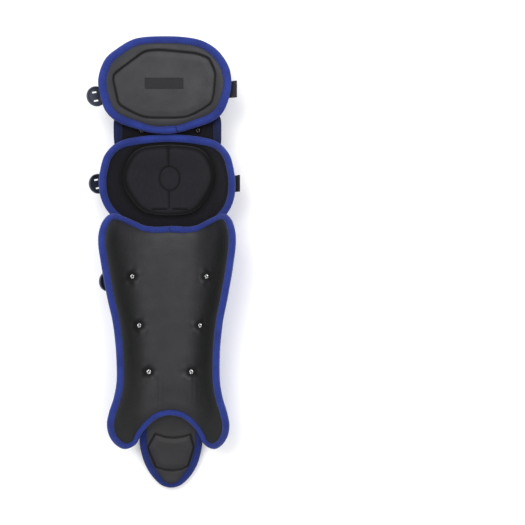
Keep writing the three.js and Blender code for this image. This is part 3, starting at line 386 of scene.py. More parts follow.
def lin(red, green, blue):
    """A colour given in display values, as linear light."""
    share = np.array([red, green, blue]) / 255
    linear = np.where(share <= 0.04045, share / 12.92, ((share + 0.055) / 1.055) ** 2.4)
    return (*[float(value) for value in linear], 1)


class Nodes:
    """A small helper that adds and joins the nodes of one material."""

    def __init__(self, name):
        self.material = bpy.data.materials.new(name)
        self.material.use_nodes = True
        self.tree = self.material.node_tree
        self.shader = self.tree.nodes["Principled BSDF"]
        coords = self.tree.nodes.new("ShaderNodeTexCoord")
        self.place = coords.outputs["Object"]
        self.uv = coords.outputs["UV"]

    def feed(self, end, value):
        """Joins an input to another node's output, or sets its value."""
        if hasattr(value, "is_linked"):
            self.tree.links.new(value, end)
        else:
            end.default_value = value

    def add(self, kind, **values):
        node = self.tree.nodes.new("ShaderNode" + kind)
        for key, value in values.items():
            if key in node.inputs:
                self.feed(node.inputs[key], value)
            else:
                setattr(node, key, value)
        return node

    def math(self, operation, first, second=0.0):
        node = self.add("Math", operation=operation)
        self.feed(node.inputs[0], first)
        self.feed(node.inputs[1], second)
        return node.outputs[0]

    def scaled(self, value, factor, offset):
        return self.math("ADD", self.math("MULTIPLY", value, factor), offset)

    def wave(self, value, period):
        """A wave between 0 and 1 that repeats every `period` of the value."""
        return self.scaled(self.math("SINE", self.math("MULTIPLY", value, math.tau / period)), 0.5, 0.5)

    def painted(self, mask):
        """A mask that the mesh holds at its points."""
        return self.add("Attribute", attribute_name=mask).outputs["Fac"]

    def cells(self, scale, feature):
        return self.add("TexVoronoi", Vector=self.place, Scale=scale, feature=feature).outputs["Distance"]

    def noise(self, scale, detail=4, rough=0.55, where=None):
        node = self.add("TexNoise", Vector=where or self.place, Scale=scale, Detail=detail, Roughness=rough)
        return node.outputs["Fac"]

    def ramp(self, value, *stops):
        node = self.add("ValToRGB", Fac=value)
        elements = node.color_ramp.elements
        while len(elements) < len(stops):
            elements.new(0.5)
        for element, (position, colour) in zip(elements, stops):
            element.position = position
            element.color = colour
        return node.outputs["Color"]

    def mix(self, share, first, second):
        node = self.add("Mix", data_type="RGBA")
        for name, value in (("Factor", share), ("A", first), ("B", second)):
            self.feed([end for end in node.inputs if end.name == name and end.enabled][0], value)
        return [end for end in node.outputs if end.enabled][0]

    def raised(self, value, distance, strength=1.0, over=None):
        node = self.add("Bump", Height=value, Distance=distance * MM, Strength=strength)
        if over is not None:
            self.tree.links.new(over, node.inputs["Normal"])
        return node.outputs["Normal"]

    def finish(self, **values):
        for key, value in values.items():
            self.feed(self.shader.inputs[key.replace("_", " ")], value)
        return self.material


def leather_material(name, light, dark, rim):
    """Charcoal synthetic leather: pebbled, finely wrinkled, with painted shade in its grooves and round its
    rivets, and darker and bluish where its rim colour is mixed in (on the shin, painted shade on its sides).
    """
    nodes = Nodes(name)
    colour = nodes.ramp(nodes.noise(22, 3), (0.3, dark), (0.7, light))
    # The rim colour: painted shade on the shin's sides, and a darker bluish band beside the binding on the
    # thigh and instep
    colour = nodes.mix(nodes.painted("rim"), colour, rim)
    # Painted shade in the grooves and round the rivets' puckers, where the mesh marks it
    colour = nodes.mix(nodes.painted("crease"), colour, lin(6, 6, 8))
    wrinkles = nodes.math("MINIMUM", nodes.cells(420, "DISTANCE_TO_EDGE"), 0.12)
    grain = nodes.raised(nodes.cells(950, "SMOOTH_F1"), 0.16, 0.7)
    grain = nodes.raised(wrinkles, 0.9, 0.35, grain)
    grain = nodes.raised(nodes.noise(90, 5, 0.6), 0.9, 0.4, grain)
    rough = nodes.scaled(nodes.noise(60, 3), 0.22, 0.42)
    rough = nodes.scaled(nodes.painted("crease"), 0.4, rough)
    return nodes.finish(Base_Color=colour, Roughness=rough, Normal=grain, Specular_IOR_Level=0.36)


def binding_material(name, light, dark):
    """Royal blue binding tape: ribs across it, a woven face, blotched, with painted shade along its sewn
    line and a painted shadow where its lapped end steps down.
    """
    nodes = Nodes(name)
    split = nodes.add("SeparateXYZ", Vector=nodes.uv)
    ribs = nodes.wave(split.outputs["X"], 1.15)
    weave = nodes.wave(split.outputs["Y"], 0.7)
    colour = nodes.ramp(nodes.noise(45, 4), (0.3, dark), (0.72, light))
    colour = nodes.mix(nodes.math("MULTIPLY", ribs, 0.35), colour, dark)
    # Painted shade along the sewn groove and a painted shadow at the lapped end, where the mesh marks them
    colour = nodes.mix(nodes.painted("crease"), colour, lin(16, 22, 60))
    face = nodes.raised(ribs, 0.22, 0.8)
    face = nodes.raised(weave, 0.1, 0.5, face)
    face = nodes.raised(nodes.noise(160, 4), 0.5, 0.35, face)
    sheen = {"Sheen_Weight": 0.12, "Sheen_Roughness": 0.5}
    return nodes.finish(Base_Color=colour, Roughness=0.78, Normal=face, Specular_IOR_Level=0.2, **sheen)


def liner_material(name, light, dark, sheen_weight):
    """Black brushed knit: a short nap that lies in streaks, with a soft sheen."""
    nodes = Nodes(name)
    streaks = nodes.add("Mapping", Vector=nodes.place, Scale=(1, 0.45, 1)).outputs["Vector"]
    nap = nodes.noise(260, 6, 0.7, streaks)
    colour = nodes.mix(nap, dark, light)
    colour = nodes.mix(nodes.math("MULTIPLY", nodes.noise(30, 4), 0.45), colour, dark)
    # Painted shade where the mesh marks it: the hollow round the knee's cushion, the tuck under the knee's
    # top binding, and the cushion's grooves and edge
    colour = nodes.mix(nodes.painted("crease"), colour, lin(4, 4, 6))
    face = nodes.raised(nap, 0.7, 0.6)
    face = nodes.raised(nodes.noise(900, 3, 0.7), 0.35, 0.6, face)
    sheen = {"Sheen_Weight": sheen_weight, "Sheen_Roughness": 0.5}
    return nodes.finish(Base_Color=colour, Roughness=0.95, Normal=face, Specular_IOR_Level=0.15, **sheen)


def shell_material():
    """Royal blue moulded plastic with a faint orange peel and fine scuffs."""
    nodes = Nodes("shell_plastic")
    colour = nodes.ramp(nodes.noise(14, 3), (0.35, lin(24, 52, 140)), (0.65, lin(30, 62, 156)))
    rough = nodes.scaled(nodes.noise(340, 6, 0.75), 0.25, 0.2)
    face = nodes.raised(nodes.noise(210, 2), 0.25, 0.25)
    coat = {"Coat_Weight": 0.25, "Coat_Roughness": 0.15}
    return nodes.finish(Base_Color=colour, Roughness=rough, Normal=face, **coat)


def webbing_material():
    """Black webbing: a herringbone of fine cords."""
    nodes = Nodes("woven_webbing")
    split = nodes.add("SeparateXYZ", Vector=nodes.uv)
    fold = nodes.math("PINGPONG", split.outputs["Y"], 3.1)
    twill = nodes.wave(nodes.math("ADD", split.outputs["X"], fold), 1.4)
    cords = nodes.wave(split.outputs["Y"], 1.55)
    weave = nodes.math("MULTIPLY", nodes.math("ADD", twill, cords), 0.5)
    colour = nodes.mix(weave, lin(14, 14, 16), lin(46, 46, 50))
    face = nodes.raised(weave, 0.35, 0.9)
    shine = {"Sheen_Weight": 0.2, "Specular_IOR_Level": 0.25}
    return nodes.finish(Base_Color=colour, Roughness=0.85, Normal=face, **shine)


def disc_material():
    """Dark slate moulded plastic with a fine spark finish."""
    nodes = Nodes("disc_plastic")
    colour = nodes.ramp(nodes.noise(120, 4), (0.3, lin(34, 39, 52)), (0.7, lin(48, 54, 68)))
    rough = nodes.scaled(nodes.noise(300, 4), 0.2, 0.34)
    face = nodes.raised(nodes.noise(1400, 3, 0.7), 0.12, 0.5)
    return nodes.finish(Base_Color=colour, Roughness=rough, Normal=face)


def rivet_material(name, dull, bright):
    """Nickel with a little tarnish, and painted shade in its splits, its middle and round its washer."""
    nodes = Nodes(name)
    tarnish = nodes.noise(900, 5, 0.7)
    colour = nodes.ramp(tarnish, (0.3, dull), (0.6, bright))
    # Painted shade where the mesh marks the splits, the middle and the washer
    colour = nodes.mix(nodes.painted("crease"), colour, lin(14, 14, 16))
    return nodes.finish(Base_Color=colour, Metallic=1.0, Roughness=nodes.scaled(tarnish, 0.25, 0.14))


def thread_material(name, colour):
    """Twisted sewing thread."""
    nodes = Nodes(name)
    split = nodes.add("SeparateXYZ", Vector=nodes.place)
    across = nodes.math("ADD", split.outputs["X"], split.outputs["Y"])
    face = nodes.raised(nodes.math("SINE", nodes.math("MULTIPLY", across, 9000)), 0.1, 0.5)
    shade = nodes.mix(nodes.noise(500, 2), colour, (*[0.6 * part for part in colour[:3]], 1))
    return nodes.finish(Base_Color=shade, Roughness=0.6, Normal=face)


LEATHER = leather_material("thigh_leather", lin(40, 40, 43), lin(30, 30, 33), lin(26, 27, 34))
# A darker copy of the same leather: painted shade over the shin pad, and its rim colour is painted shade on
# the shin's sides
SHIN_LEATHER = leather_material("shin_leather", lin(33, 32, 37), lin(22, 22, 25), lin(12, 13, 14))
INSTEP_LEATHER = leather_material("instep_leather", lin(35, 34, 37), lin(26, 26, 28), lin(26, 26, 30))
BLUE = binding_material("blue_binding", lin(36, 54, 134), lin(24, 40, 108))
# Darker copies of the blue binding: painted shade on the instep's tape and, darker still, on the lame's,
# which lies deep in the gap
SHADED_BLUE = binding_material("instep_binding_shaded", lin(22, 41, 112), lin(13, 28, 84))
DEEP_SHADED_BLUE = binding_material("lame_binding_shaded", lin(14, 27, 72), lin(8, 17, 50))
LINER = liner_material("knee_liner", lin(23, 23, 31), lin(9, 9, 14), 0.1)
CUSHION_CLOTH = liner_material("cushion_cloth", lin(38, 37, 42), lin(22, 21, 25), 0.12)
SHELL_BLUE = shell_material()
WOVEN = webbing_material()
SLATE = disc_material()
NICKEL = rivet_material("nickel", lin(168, 168, 170), lin(225, 226, 228))
# A darker copy of the nickel: painted shade on the lame's rivets, which sit deep in the gap between thigh
# and knee
SHADED_NICKEL = rivet_material("shaded_nickel", lin(60, 56, 58), lin(104, 98, 98))
BLUE_THREAD = thread_material("blue_thread", lin(44, 62, 142))
DARK_THREAD = thread_material("dark_thread", lin(26, 26, 30))


def add_object(name, data):
    thing = bpy.data.objects.new(name, data)
    bpy.context.collection.objects.link(thing)
    return thing


def make_mesh(name, points, faces, material, uvs=None, masks=None, angle=SHELL_ANGLE):
    """A smooth mesh from points in millimetres; uvs and masks hold one value for each point."""
    mesh = bpy.data.meshes.new(name)
    mesh.from_pydata(((points + SHIFT) * MM).tolist(), [], faces)
    for mask, values in (masks or {}).items():
        attribute = mesh.attributes.new(mask, "FLOAT", "POINT")
        attribute.data.foreach_set("value", np.asarray(values, np.float32))
    if uvs is not None:
        layer = mesh.uv_layers.new(name="weave")
        corners = np.empty(len(mesh.loops), np.int32)
        mesh.loops.foreach_get("vertex_index", corners)
        layer.data.foreach_set("uv", np.asarray(uvs, np.float32)[corners].ravel())
    shape = bmesh.new()
    shape.from_mesh(mesh)
    bmesh.ops.recalc_face_normals(shape, faces=shape.faces)
    shape.to_mesh(mesh)
    shape.free()
    mesh.shade_smooth()
    mesh.set_sharp_from_angle(angle=math.radians(angle))
    mesh.materials.append(material)
    piece = add_object(name, mesh)
    return piece


def dress(piece, *nodes_replaced):
    """The piece rides on the guard and stands for the solids that it is named for."""
    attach(piece, "root")
    if nodes_replaced:
        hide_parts(*nodes_replaced)
    return piece


def grid_faces(rows, columns, start=0, turned=False):
    ids = start + np.arange(rows * columns).reshape(rows, columns)
    quads = np.stack([ids[:-1, :-1], ids[:-1, 1:], ids[1:, 1:], ids[1:, :-1]], -1).reshape(-1, 4)
    return (quads[:, ::-1] if turned else quads).tolist()


def tube_faces(rings, around, start=0):
    """Quads between rings of points, with a face over each end."""
    faces = []
    for base in range(start, start + (rings - 1) * around, around):
        for k in range(around):
            a, b = base + k, base + (k + 1) % around
            faces.append([a, b, b + around, a + around])
    first = [start + k for k in range(around)]
    return faces + [first[::-1], [k + (rings - 1) * around for k in first]]


def slab(name, net, front, back, material, slot, masks=None, angle=SHELL_ANGLE, turned=False):
    """A closed slab over a net of points; front and back give its depths there."""
    rows, columns = net.shape[:2]
    flat = net.reshape(-1, 2)
    below = rows * columns
    faces = grid_faces(rows, columns) + grid_faces(rows, columns, below, True)
    ids = np.arange(below).reshape(rows, columns)
    rim = np.concatenate([ids[0, :-1], ids[:-1, -1], ids[-1, :0:-1], ids[:0:-1, 0]])
    after = np.roll(rim, -1)
    faces += np.stack([rim, rim + below, after + below, after], 1).tolist()
    points = np.concatenate([place(flat, front), place(flat, back)])
    uvs = np.tile(flat[:, ::-1] if turned else flat, (2, 1))
    both = {mask: np.tile(values(flat), 2) for mask, values in (masks or {}).items()}
    return make_mesh(name, points, faces, material, uvs, both, angle)


def pad(node, name, loop, net, front, back, material, slot, masks, fill):
    """A padded piece over the net inside a loop."""
    piece = slab(f"{node}_{name}", net_of(loop, *net), front, back, material, slot, masks, PAD_ANGLE)
    dress(piece, node)


def puffed(loop, front, crown, roll, level):
    """A pad's front: level under its binding, then swelling steeply beside it and up to its crown."""

    def depth(points):
        inner = np.clip((rim_distance(points, loop) - level) / roll, 0, 1)
        swell = np.sqrt(1 - (1 - inner) ** 2)
        return depth_at(front, points) + (depth_at(crown, points) - depth_at(front, points)) * swell

    return depth


# A folded binding's front: how far in from the pad's rim, and how far outwards from the pad's face
TAPE_FRONT = [
    (9.9, -0.25), (9.8, -1.0), (9.2, -1.5), (7.6, -1.35), (6.4, -1.95),
    (4.2, -2.35), (1.6, -2.2), (-0.2, -1.55), (-1.5, 0.2), (-2.35, 1.8),
]
# The whole section adds which face of the pad a row is measured from: 0 its front, 1 its back
TAPE_SECTION = [(across, 0, out) for across, out in TAPE_FRONT]
TAPE_SECTION += [(across, 1, -out) for across, out in reversed(TAPE_FRONT)]
TAPE_SECTION += [(-FIT, 1, 0.25), (-FIT, 0, -0.25)]
# Where the tape is sewn along, and the strength of the painted shade in that groove
TAPE_SEWN_AT, TAPE_SEWN_SHADE = 7.6, 0.75
# The section's side is drawn for a pad this thick
TAPE_SIDE = 5.0
# The tape's end lies over its start, as far as the lap's end, and a line of painted shadow runs across it
# where its cut end steps down
LAP_LIFT, LAP_START, LAP_END, LAP_SHADOW = 0.75, 16, 22, 0.85
PUCKER, PUCKER_PERIOD = 0.12, 7.3


def tape(name, loop, front, back, material, node, reach=1.0, seam=None, seed=0):
    """Binding tape folded round a pad's rim; `seam` is the share of the loop where its end laps over."""
    count = len(loop)
    faces_at = depth_at(front, loop), depth_at(back, loop)
    thick = faces_at[1] - faces_at[0]
    lengths = np.linalg.norm(np.diff(place(np.concatenate([loop, loop[:1]]), front), axis=0), axis=1)
    along = np.concatenate([[0], np.cumsum(lengths)[:-1]])
    lap, cut = np.zeros(count), np.zeros(count)
    if seam is not None:
        past = ((seam - np.arange(count) / count + 0.5) % 1 - 0.5) * lengths.sum()
        lap = smooth(past, -0.4, 0.4) * (1 - smooth(past, LAP_START, LAP_END))
        # Painted shadow where the lapped end steps down
        cut = LAP_SHADOW * bump(past + 0.6, 1.2)
    wander = math.tau / np.random.default_rng(seed).uniform(38, 60)
    pucker = PUCKER * np.sin(along * math.tau / PUCKER_PERIOD + 1.5 * np.sin(along * wander))
    inward = inset(loop, 1.0) - loop
    rails = []
    for across, face, out in TAPE_SECTION:
        move = out + (1 if face else -1) * (LAP_LIFT * lap + pucker * (0.5 < across < 9.5))
        if (out > 0) == (face == 0):
            move = out * thick / TAPE_SIDE
        spread = across * reach if across > 0 else across - 0.5 * lap
        rails.append(place(loop + inward * np.reshape(spread, (-1, 1)), faces_at[face] + move))
    ids = np.arange(len(rails) * count).reshape(len(rails), count)
    after = np.roll(ids, -1, 1)
    faces = np.stack([ids, after, np.roll(after, -1, 0), np.roll(ids, -1, 0)], -1).reshape(-1, 4).tolist()
    spots = np.array([(across, out + face * thick.mean()) for across, face, out in TAPE_SECTION])
    rounds = np.concatenate([[0], np.cumsum(np.linalg.norm(np.diff(spots, axis=0), axis=1))])
    uvs = np.stack([np.tile(along, len(rails)), np.repeat(rounds, count)], 1)
    # Painted shade along the sewn groove
    sewn = [TAPE_SEWN_SHADE * (across == TAPE_SEWN_AT) for across, _, _ in TAPE_SECTION]
    masks = {"crease": np.concatenate([np.maximum(cut, dark) for dark in sewn])}
    piece = make_mesh(name, np.concatenate(rails), faces, material, uvs, masks, TAPE_ANGLE)
    return dress(piece, node)


# A stitch's rings: place along it, width and lift as shares of its length, radius and diameter
STITCH_RINGS = [
    (-0.5, 0.35, -0.35), (-0.38, 0.85, 0.0), (0.0, 1.0, 0.15), (0.38, 0.85, 0.0), (0.5, 0.35, -0.35),
]
STITCH_SIDES, STITCH_ANGLE = 6, 60


def stitches(name, line, depth, material, length=3.0, gap=1.3, radius=0.33, closed=True):
    """A row of short threads along a line of points on the master surface, at `depth`."""
    path = np.concatenate([line, line[:1]]) if closed else line
    spots = place(path, depth)
    lengths = np.concatenate([[0], np.cumsum(np.linalg.norm(np.diff(spots, axis=0), axis=1))])
    count = int(lengths[-1] / (length + gap))
    points, faces = [], []
    ups = normals(path)

    def at(distance, values):
        return np.array([np.interp(distance, lengths, values[:, k]) for k in range(values.shape[1])])

    for k in range(count):
        centre = (k + 0.5) * lengths[-1] / count
        start, end = at(centre - length / 2, spots), at(centre + length / 2, spots)
        forward = (end - start) / np.linalg.norm(end - start)
        up = at(centre, ups)
        side = np.cross(forward, up)
        side /= np.linalg.norm(side)
        faces += tube_faces(len(STITCH_RINGS), STITCH_SIDES, len(points))
        for along, width, lift in STITCH_RINGS:
            middle = at(centre + along * length, spots) + up * lift * radius * 2
            for corner in range(STITCH_SIDES):
                turn = corner * math.tau / STITCH_SIDES
                points.append(middle + radius * width * (side * math.cos(turn) + up * math.sin(turn)))
    return dress(make_mesh(name, np.array(points), faces, material, angle=STITCH_ANGLE))


def seat(x, y, depth):
    """A matrix, in millimetres, whose +Z points at the leg along the master surface's normal."""
    up = Vector(normals(np.array([[x, y]]))[0])
    turn = Vector((0, 0, 1)).rotation_difference(up).to_matrix().to_4x4()
    return Matrix.Translation(Vector(place([[x, y]], depth)[0])) @ turn


def lathe(name, profile, segments, matrix, material, slot, ripple=None):
    """A turned body from rows of radius and height, with its axis along the matrix's +Z."""
    points, dark = [], []
    for radius, level in profile:
        for k in range(segments):
            turn = k * math.tau / segments
            rise = ripple(radius, turn) if ripple else 0
            points.append(matrix @ Vector((radius * math.cos(turn), radius * math.sin(turn), level + rise)))
            # A split rivet's splits, middle and washer are marked for painted shade
            recessed = rise < SPLIT_DARK or not RING_INNER <= radius <= RING_OUTER
            dark.append(1.0 if ripple and recessed else 0.0)
    points = np.array([tuple(point) for point in points])
    faces = tube_faces(len(profile), segments)
    return make_mesh(name, points, faces, material, masks={"crease": dark})


def dome_profile(grip):
    """A rivet from its flat tail up through its shank to its domed head."""
    foot = -grip - TAIL_HEIGHT
    rows = [(TAIL_RADIUS - 0.3, foot), (TAIL_RADIUS, foot + 0.2), (TAIL_RADIUS, -grip)]
    rows += [(SHANK_RADIUS, -grip), (SHANK_RADIUS, 0), (RIVET_RADIUS, 0), (RIVET_RADIUS, HEAD_FOOT)]
    for turn in (0.35, 0.7, 1.05, 1.35):
        rows.append((RIVET_RADIUS * math.cos(turn), HEAD_FOOT + (HEAD_HEIGHT - HEAD_FOOT) * math.sin(turn)))
    return rows + [(0.3, HEAD_HEIGHT)]


def split_profile(grip):
    """A split rivet: a washer, with the rivet's end rolled over on it in a ring."""
    rows = dome_profile(grip)[:5]
    rows += [(RIVET_RADIUS + 0.6, 0), (RIVET_RADIUS + 0.6, 0.45), (RIVET_RADIUS - 0.3, 0.6)]
    return rows + [(RIVET_RADIUS - 0.4, 1.1), (3.1, 1.7), (2.3, 1.85), (1.6, 1.5), (1.1, 0.9), (0.4, 0.7)]


def petals(radius, turn):
    """The splits that part the rolled ring into prongs."""
    across = abs(math.sin(PRONGS / 2 * turn + 0.4)) * radius / (PRONGS / 2)
    return -PETAL_DEPTH * math.exp(-((across / PETAL_WIDTH) ** 2)) if 1.0 < radius < 3.7 else 0


def rivet(node, x, y, inner, outer, turned=False, split=False, material=NICKEL):
    """A rivet from one depth to another, its dome or its split end towards the leg unless turned."""
    grip = outer - inner + 2 * FIT
    matrix = seat(x, y, outer + FIT if turned else inner - FIT)
    if turned:
        matrix = matrix @ Matrix.Rotation(math.pi, 4, "X")
    if split:
        turned_body = node + "_split", split_profile(grip), SPLIT_SEGMENTS
    else:
        turned_body = node + "_dome", dome_profile(grip), DOME_SEGMENTS
    return dress(lathe(*turned_body, matrix, material, "rivet", petals if split else None), node)


def ribbon(name, rows, thickness, node, edges=12):
    """A strip of webbing: rows of centre and thickness direction, swept with rounded edges."""
    half = WEBBING_WIDTH / 2
    flat = half - WEBBING_ROUND
    over = [-flat + 2 * flat * k / edges for k in range(edges + 1)]
    section = [(-half, 0.35)] + [(across, 0.0) for across in over] + [(half, 0.35), (half, 0.65)]
    section += [(-across, 1.0) for across in over] + [(-half, 0.65)]
    points, uvs = [], []
    run = 0.0
    before = rows[0][0]
    for centre, out in rows:
        run += np.linalg.norm(centre - before)
        before = centre
        for across, share in section:
            points.append(centre + WEBBING_AXIS * across + out * thickness * share)
            uvs.append((run, across))
    faces = tube_faces(len(rows), len(section))
    piece = make_mesh(name, np.array(points), faces, WOVEN, np.array(uvs), angle=WEBBING_ANGLE)
    return dress(piece, node)


def panelled(base, panel, groove, width, rise, run, uneven, scale, seed):
    """A pad's front with a raised panel inside a sewn groove, and a soft unevenness."""

    def depth(points):
        edge = edge_distance(points, panel)
        relief = groove * bump(edge, width) - rise * smooth(-edge, 1, run)
        return base(points) + relief + uneven * waver(points, scale, seed)

    return depth


def panel_masks(panel, loop, reach):
    """The groove's painted shade, and the darker band that runs in from the binding."""
    ends = BINDING_WIDTH, BINDING_WIDTH + reach
    return {
        "crease": lambda points: bump(edge_distance(points, panel), GROOVE_SHADE_WIDTH),
        "rim": lambda points: RIM_BAND * (1 - smooth(rim_distance(points, loop), *ends)),
    }


# Thigh pad: a raised straight-sided panel in a stitched groove
THIGH_NET = (220, 160)
thigh_rows = sized(THIGH_OUTLINE, THIGH_WIDTH, THIGH_LENGTH, THIGH_ASIDE, THIGH_Y)
thigh_loop = pad_loop(thigh_rows, *THIGH_NET, PAD_WRAP_BACK)
thigh_panel = softened(under(sized(THIGH_PANEL, THIGH_WIDTH, THIGH_LENGTH, THIGH_ASIDE, THIGH_Y), 1))
thigh_base = puffed(thigh_loop, EDGE_FRONT, crown=0.6, roll=9, level=8)
thigh_relief = {"groove": 2.4, "width": 1.4, "rise": 1.0, "run": 11, "uneven": 0.22, "scale": 55, "seed": 3}
thigh_front = panelled(thigh_base, thigh_panel, **thigh_relief)
thigh_masks = panel_masks(thigh_panel, thigh_loop, 12)
pad("thigh_pad", "leather", thigh_loop, THIGH_NET, thigh_front, PAD, LEATHER, "leather", thigh_masks, 0.85)
tape("thigh_tape", thigh_loop, EDGE_FRONT, PAD, BLUE, "thigh_binding", reach=0.92, seam=0.17, seed=4)
stitches("thigh_tape_stitches", inset(thigh_loop, 7), EDGE_FRONT - THREAD_OVER, BLUE_THREAD)

# A blank woven patch, sewn on round its edge
PATCH_X, PATCH_Y, PATCH_HALF_X, PATCH_HALF_Y = -7, 147.3, 29, 8.2
PATCH_OVER, PATCH_UNDER, PATCH_HEM = -0.7, 0.4, 1.4
patch_xs = np.linspace(PATCH_X - PATCH_HALF_X, PATCH_X + PATCH_HALF_X, 60)
patch_ys = np.linspace(PATCH_Y - PATCH_HALF_Y, PATCH_Y + PATCH_HALF_Y, 20)
patch_net = np.stack(np.meshgrid(patch_xs, patch_ys), -1)
patch_faces = deeper(thigh_front, PATCH_OVER), deeper(thigh_front, PATCH_UNDER)
dress(slab("thigh_patch", patch_net, *patch_faces, WOVEN, "webbing", angle=WEBBING_ANGLE))
patch_reach = PATCH_HALF_X - PATCH_HEM, PATCH_HALF_Y - PATCH_HEM
corners = np.array([(-1, -1), (1, -1), (1, 1), (-1, 1)]) * patch_reach + (PATCH_X, PATCH_Y)
patch_seam = [np.linspace(a, b, 12, endpoint=False) for a, b in zip(corners, np.roll(corners, -1, 0))]
patch_thread = deeper(thigh_front, PATCH_OVER - 0.1)
stitches("thigh_patch_stitches", np.concatenate(patch_seam), patch_thread, DARK_THREAD, 1.6, 0.8, 0.25)

# Shin pad: quilted down by split rivets, each in a pucker
SHIN_NET = (130, 210)
SHIN_RIVETS = [("upper", 54, 0.264), ("middle", 44, 0.474), ("lower", 31, 0.675)]
SIDES = [(-1, "left"), (1, "right")]
shin_rows = sized(mirrored(SHIN_OUTLINE), SHIN_WIDTH, -2 * SHIN_LENGTH, 0, SHIN_TOP)
shin_loop = pad_loop(shin_rows, *SHIN_NET, PAD_WRAP_BACK)
quilting = [
    (f"shin_rivet_{row}_{name}", side * x, SHIN_TOP - along * SHIN_LENGTH)
    for row, x, along in SHIN_RIVETS
    for side, name in SIDES
]
shin_base = puffed(shin_loop, EDGE_FRONT, crown=0, roll=15, level=6.2)
# A pucker's funnel as shares and reaches, its folds as depths and counts, then where folds and lip lie
FUNNEL_DEPTH, FUNNEL, FOLDS = DIMPLE_DEPTH + 0.3, ((0.5, 6.2), (0.5, 10)), ((0.34, 5), (0.3, 3))
FOLD_RADIUS, FOLD_REACH, FOLD_START, FOLD_FULL = 10, 7, 3, 8
LIP_HEIGHT, LIP_RADIUS, LIP_WIDTH = 0.5, 11.5, 3.5
# Painted shade round each quilting rivet fades out between these distances
PUCKER_SHADE = (4.5, 10)
# Wrinkles as depth, bend, x, y and reach both ways, and slacks as depth, y and reach
WRINKLE_PERIOD, WRINKLE_BEND = 7.5, 22
WRINKLES = [(0.7, 0.8, -17, -325, 12, 24), (0.15, 0, 36, -318, 9, 20)]
SLACKS, SLACK_X, SLACK_REACH = [(0.5, -182, 9), (0.45, -255, 8)], 44, 26
# The shin's painted shade on its sides starts this far from the middle at these distances down the shin
SIDE_SHADE_DOWN, SIDE_SHADE_OUT = [60, 100, 144, 219, 290, 350], [84, 72, 60, 48, 37, 44]


def pucker_relief(points, seed):
    """Depth added by every quilting rivet: a funnel with a lip, and soft folds that run out of it."""
    rng = np.random.default_rng(seed)
    total = np.zeros(len(points))
    for _, x, y in quilting:
        out = points - (x, y)
        climb = slope(np.array([[x, y]]))[0]
        radius = np.hypot(out[:, 0] * math.hypot(1, climb[0]), out[:, 1])
        turn = np.arctan2(out[:, 1], out[:, 0])
        total += FUNNEL_DEPTH * sum(share * bump(radius, reach) for share, reach in FUNNEL)
        total -= LIP_HEIGHT * bump(radius - LIP_RADIUS, LIP_WIDTH)
        folds = sum(deep * np.cos(count * turn + rng.uniform(0, 6)) for deep, count in FOLDS)
        total += folds * bump(radius - FOLD_RADIUS, FOLD_REACH) * smooth(radius, FOLD_START, FOLD_FULL)
    return total


def shin_wrinkles(points):
    """Shallow lengthwise wrinkles near the ankle, and slacks between the rivets."""
    x, y = points[:, 0], points[:, 1]
    total = 0.3 * smooth(-y, 300, 345) * waver(points, 24, 8)
    for deep, bend, at_x, at_y, reach_x, reach_y in WRINKLES:
        wave = np.sin(x * math.tau / WRINKLE_PERIOD + bend * np.sin(y / WRINKLE_BEND))
        total += deep * wave * bump(x - at_x, reach_x) * bump(y - at_y, reach_y)
    between = sum(deep * bump(y - at_y, reach) for deep, at_y, reach in SLACKS)
    return total + between * bump(np.abs(x) - SLACK_X, SLACK_REACH)


def shin_front(points):
    return shin_base(points) + pucker_relief(points, 11) + shin_wrinkles(points) + 0.3 * waver(points, 60, 5)


# Painted shade in the dimple round each quilting rivet
def shin_pucker_shade(points):
    total = np.zeros(len(points))
    for _, x, y in quilting:
        total = np.maximum(total, 1 - smooth(np.hypot(points[:, 0] - x, points[:, 1] - y), *PUCKER_SHADE))
    return total


# Painted shade on the shin's sides, which turn away from the light; its middle keeps the plain leather
# colour
def shin_side_shade(points):
    return smooth(np.abs(points[:, 0]) - np.interp(-points[:, 1], SIDE_SHADE_DOWN, SIDE_SHADE_OUT), -12, 8)


shin_masks = {"crease": shin_pucker_shade, "rim": shin_side_shade}
pad("shin_pad", "leather", shin_loop, SHIN_NET, shin_front, PAD, SHIN_LEATHER, "leather", shin_masks, 0.8)
tape("shin_tape", shin_loop, EDGE_FRONT, PAD, BLUE, "shin_binding", reach=0.73, seam=0.596, seed=6)
stitches("shin_tape_stitches", inset(shin_loop, 5.5), EDGE_FRONT - THREAD_OVER, BLUE_THREAD)

# Instep pad: a quilted panel, its upper line sewn in dots
INSTEP_NET = (110, 120)
instep_rows = sized(mirrored(INSTEP_OUTLINE), INSTEP_WIDTH, INSTEP_LENGTH, 0, INSTEP_Y)
instep_loop = pad_loop(instep_rows, *INSTEP_NET, INSTEP_BACK + WRAP)
instep_panel = under(sized(INSTEP_PANEL, INSTEP_WIDTH, INSTEP_LENGTH, 0, INSTEP_Y), INSTEP_FRONT - 1)
instep_base = puffed(instep_loop, INSTEP_FRONT, crown=INSTEP_FRONT - 1.6, roll=8, level=5.4)
instep_relief = {"groove": 1.8, "width": 1.1, "rise": 1.3, "run": 9, "uneven": 0.12, "scale": 30, "seed": 9}
instep_front = panelled(instep_base, instep_panel, **instep_relief)
instep_masks = panel_masks(instep_panel, instep_loop, 9)
instep_faces = instep_front, INSTEP_BACK, INSTEP_LEATHER
pad("instep_pad", "leather", instep_loop, INSTEP_NET, *instep_faces, "leather", instep_masks, 0.8)
tape("instep_tape", instep_loop, INSTEP_FRONT, INSTEP_BACK, SHADED_BLUE, "instep_binding", reach=0.64, seed=9)
stitches("instep_tape_stitches", inset(instep_loop, 4.9), INSTEP_FRONT - THREAD_OVER, DARK_THREAD)
dotted = [np.linspace(instep_panel[k], instep_panel[k + 1], 6, endpoint=False) for k in (6, 7, 8, 9)]
dotted = np.concatenate(dotted)
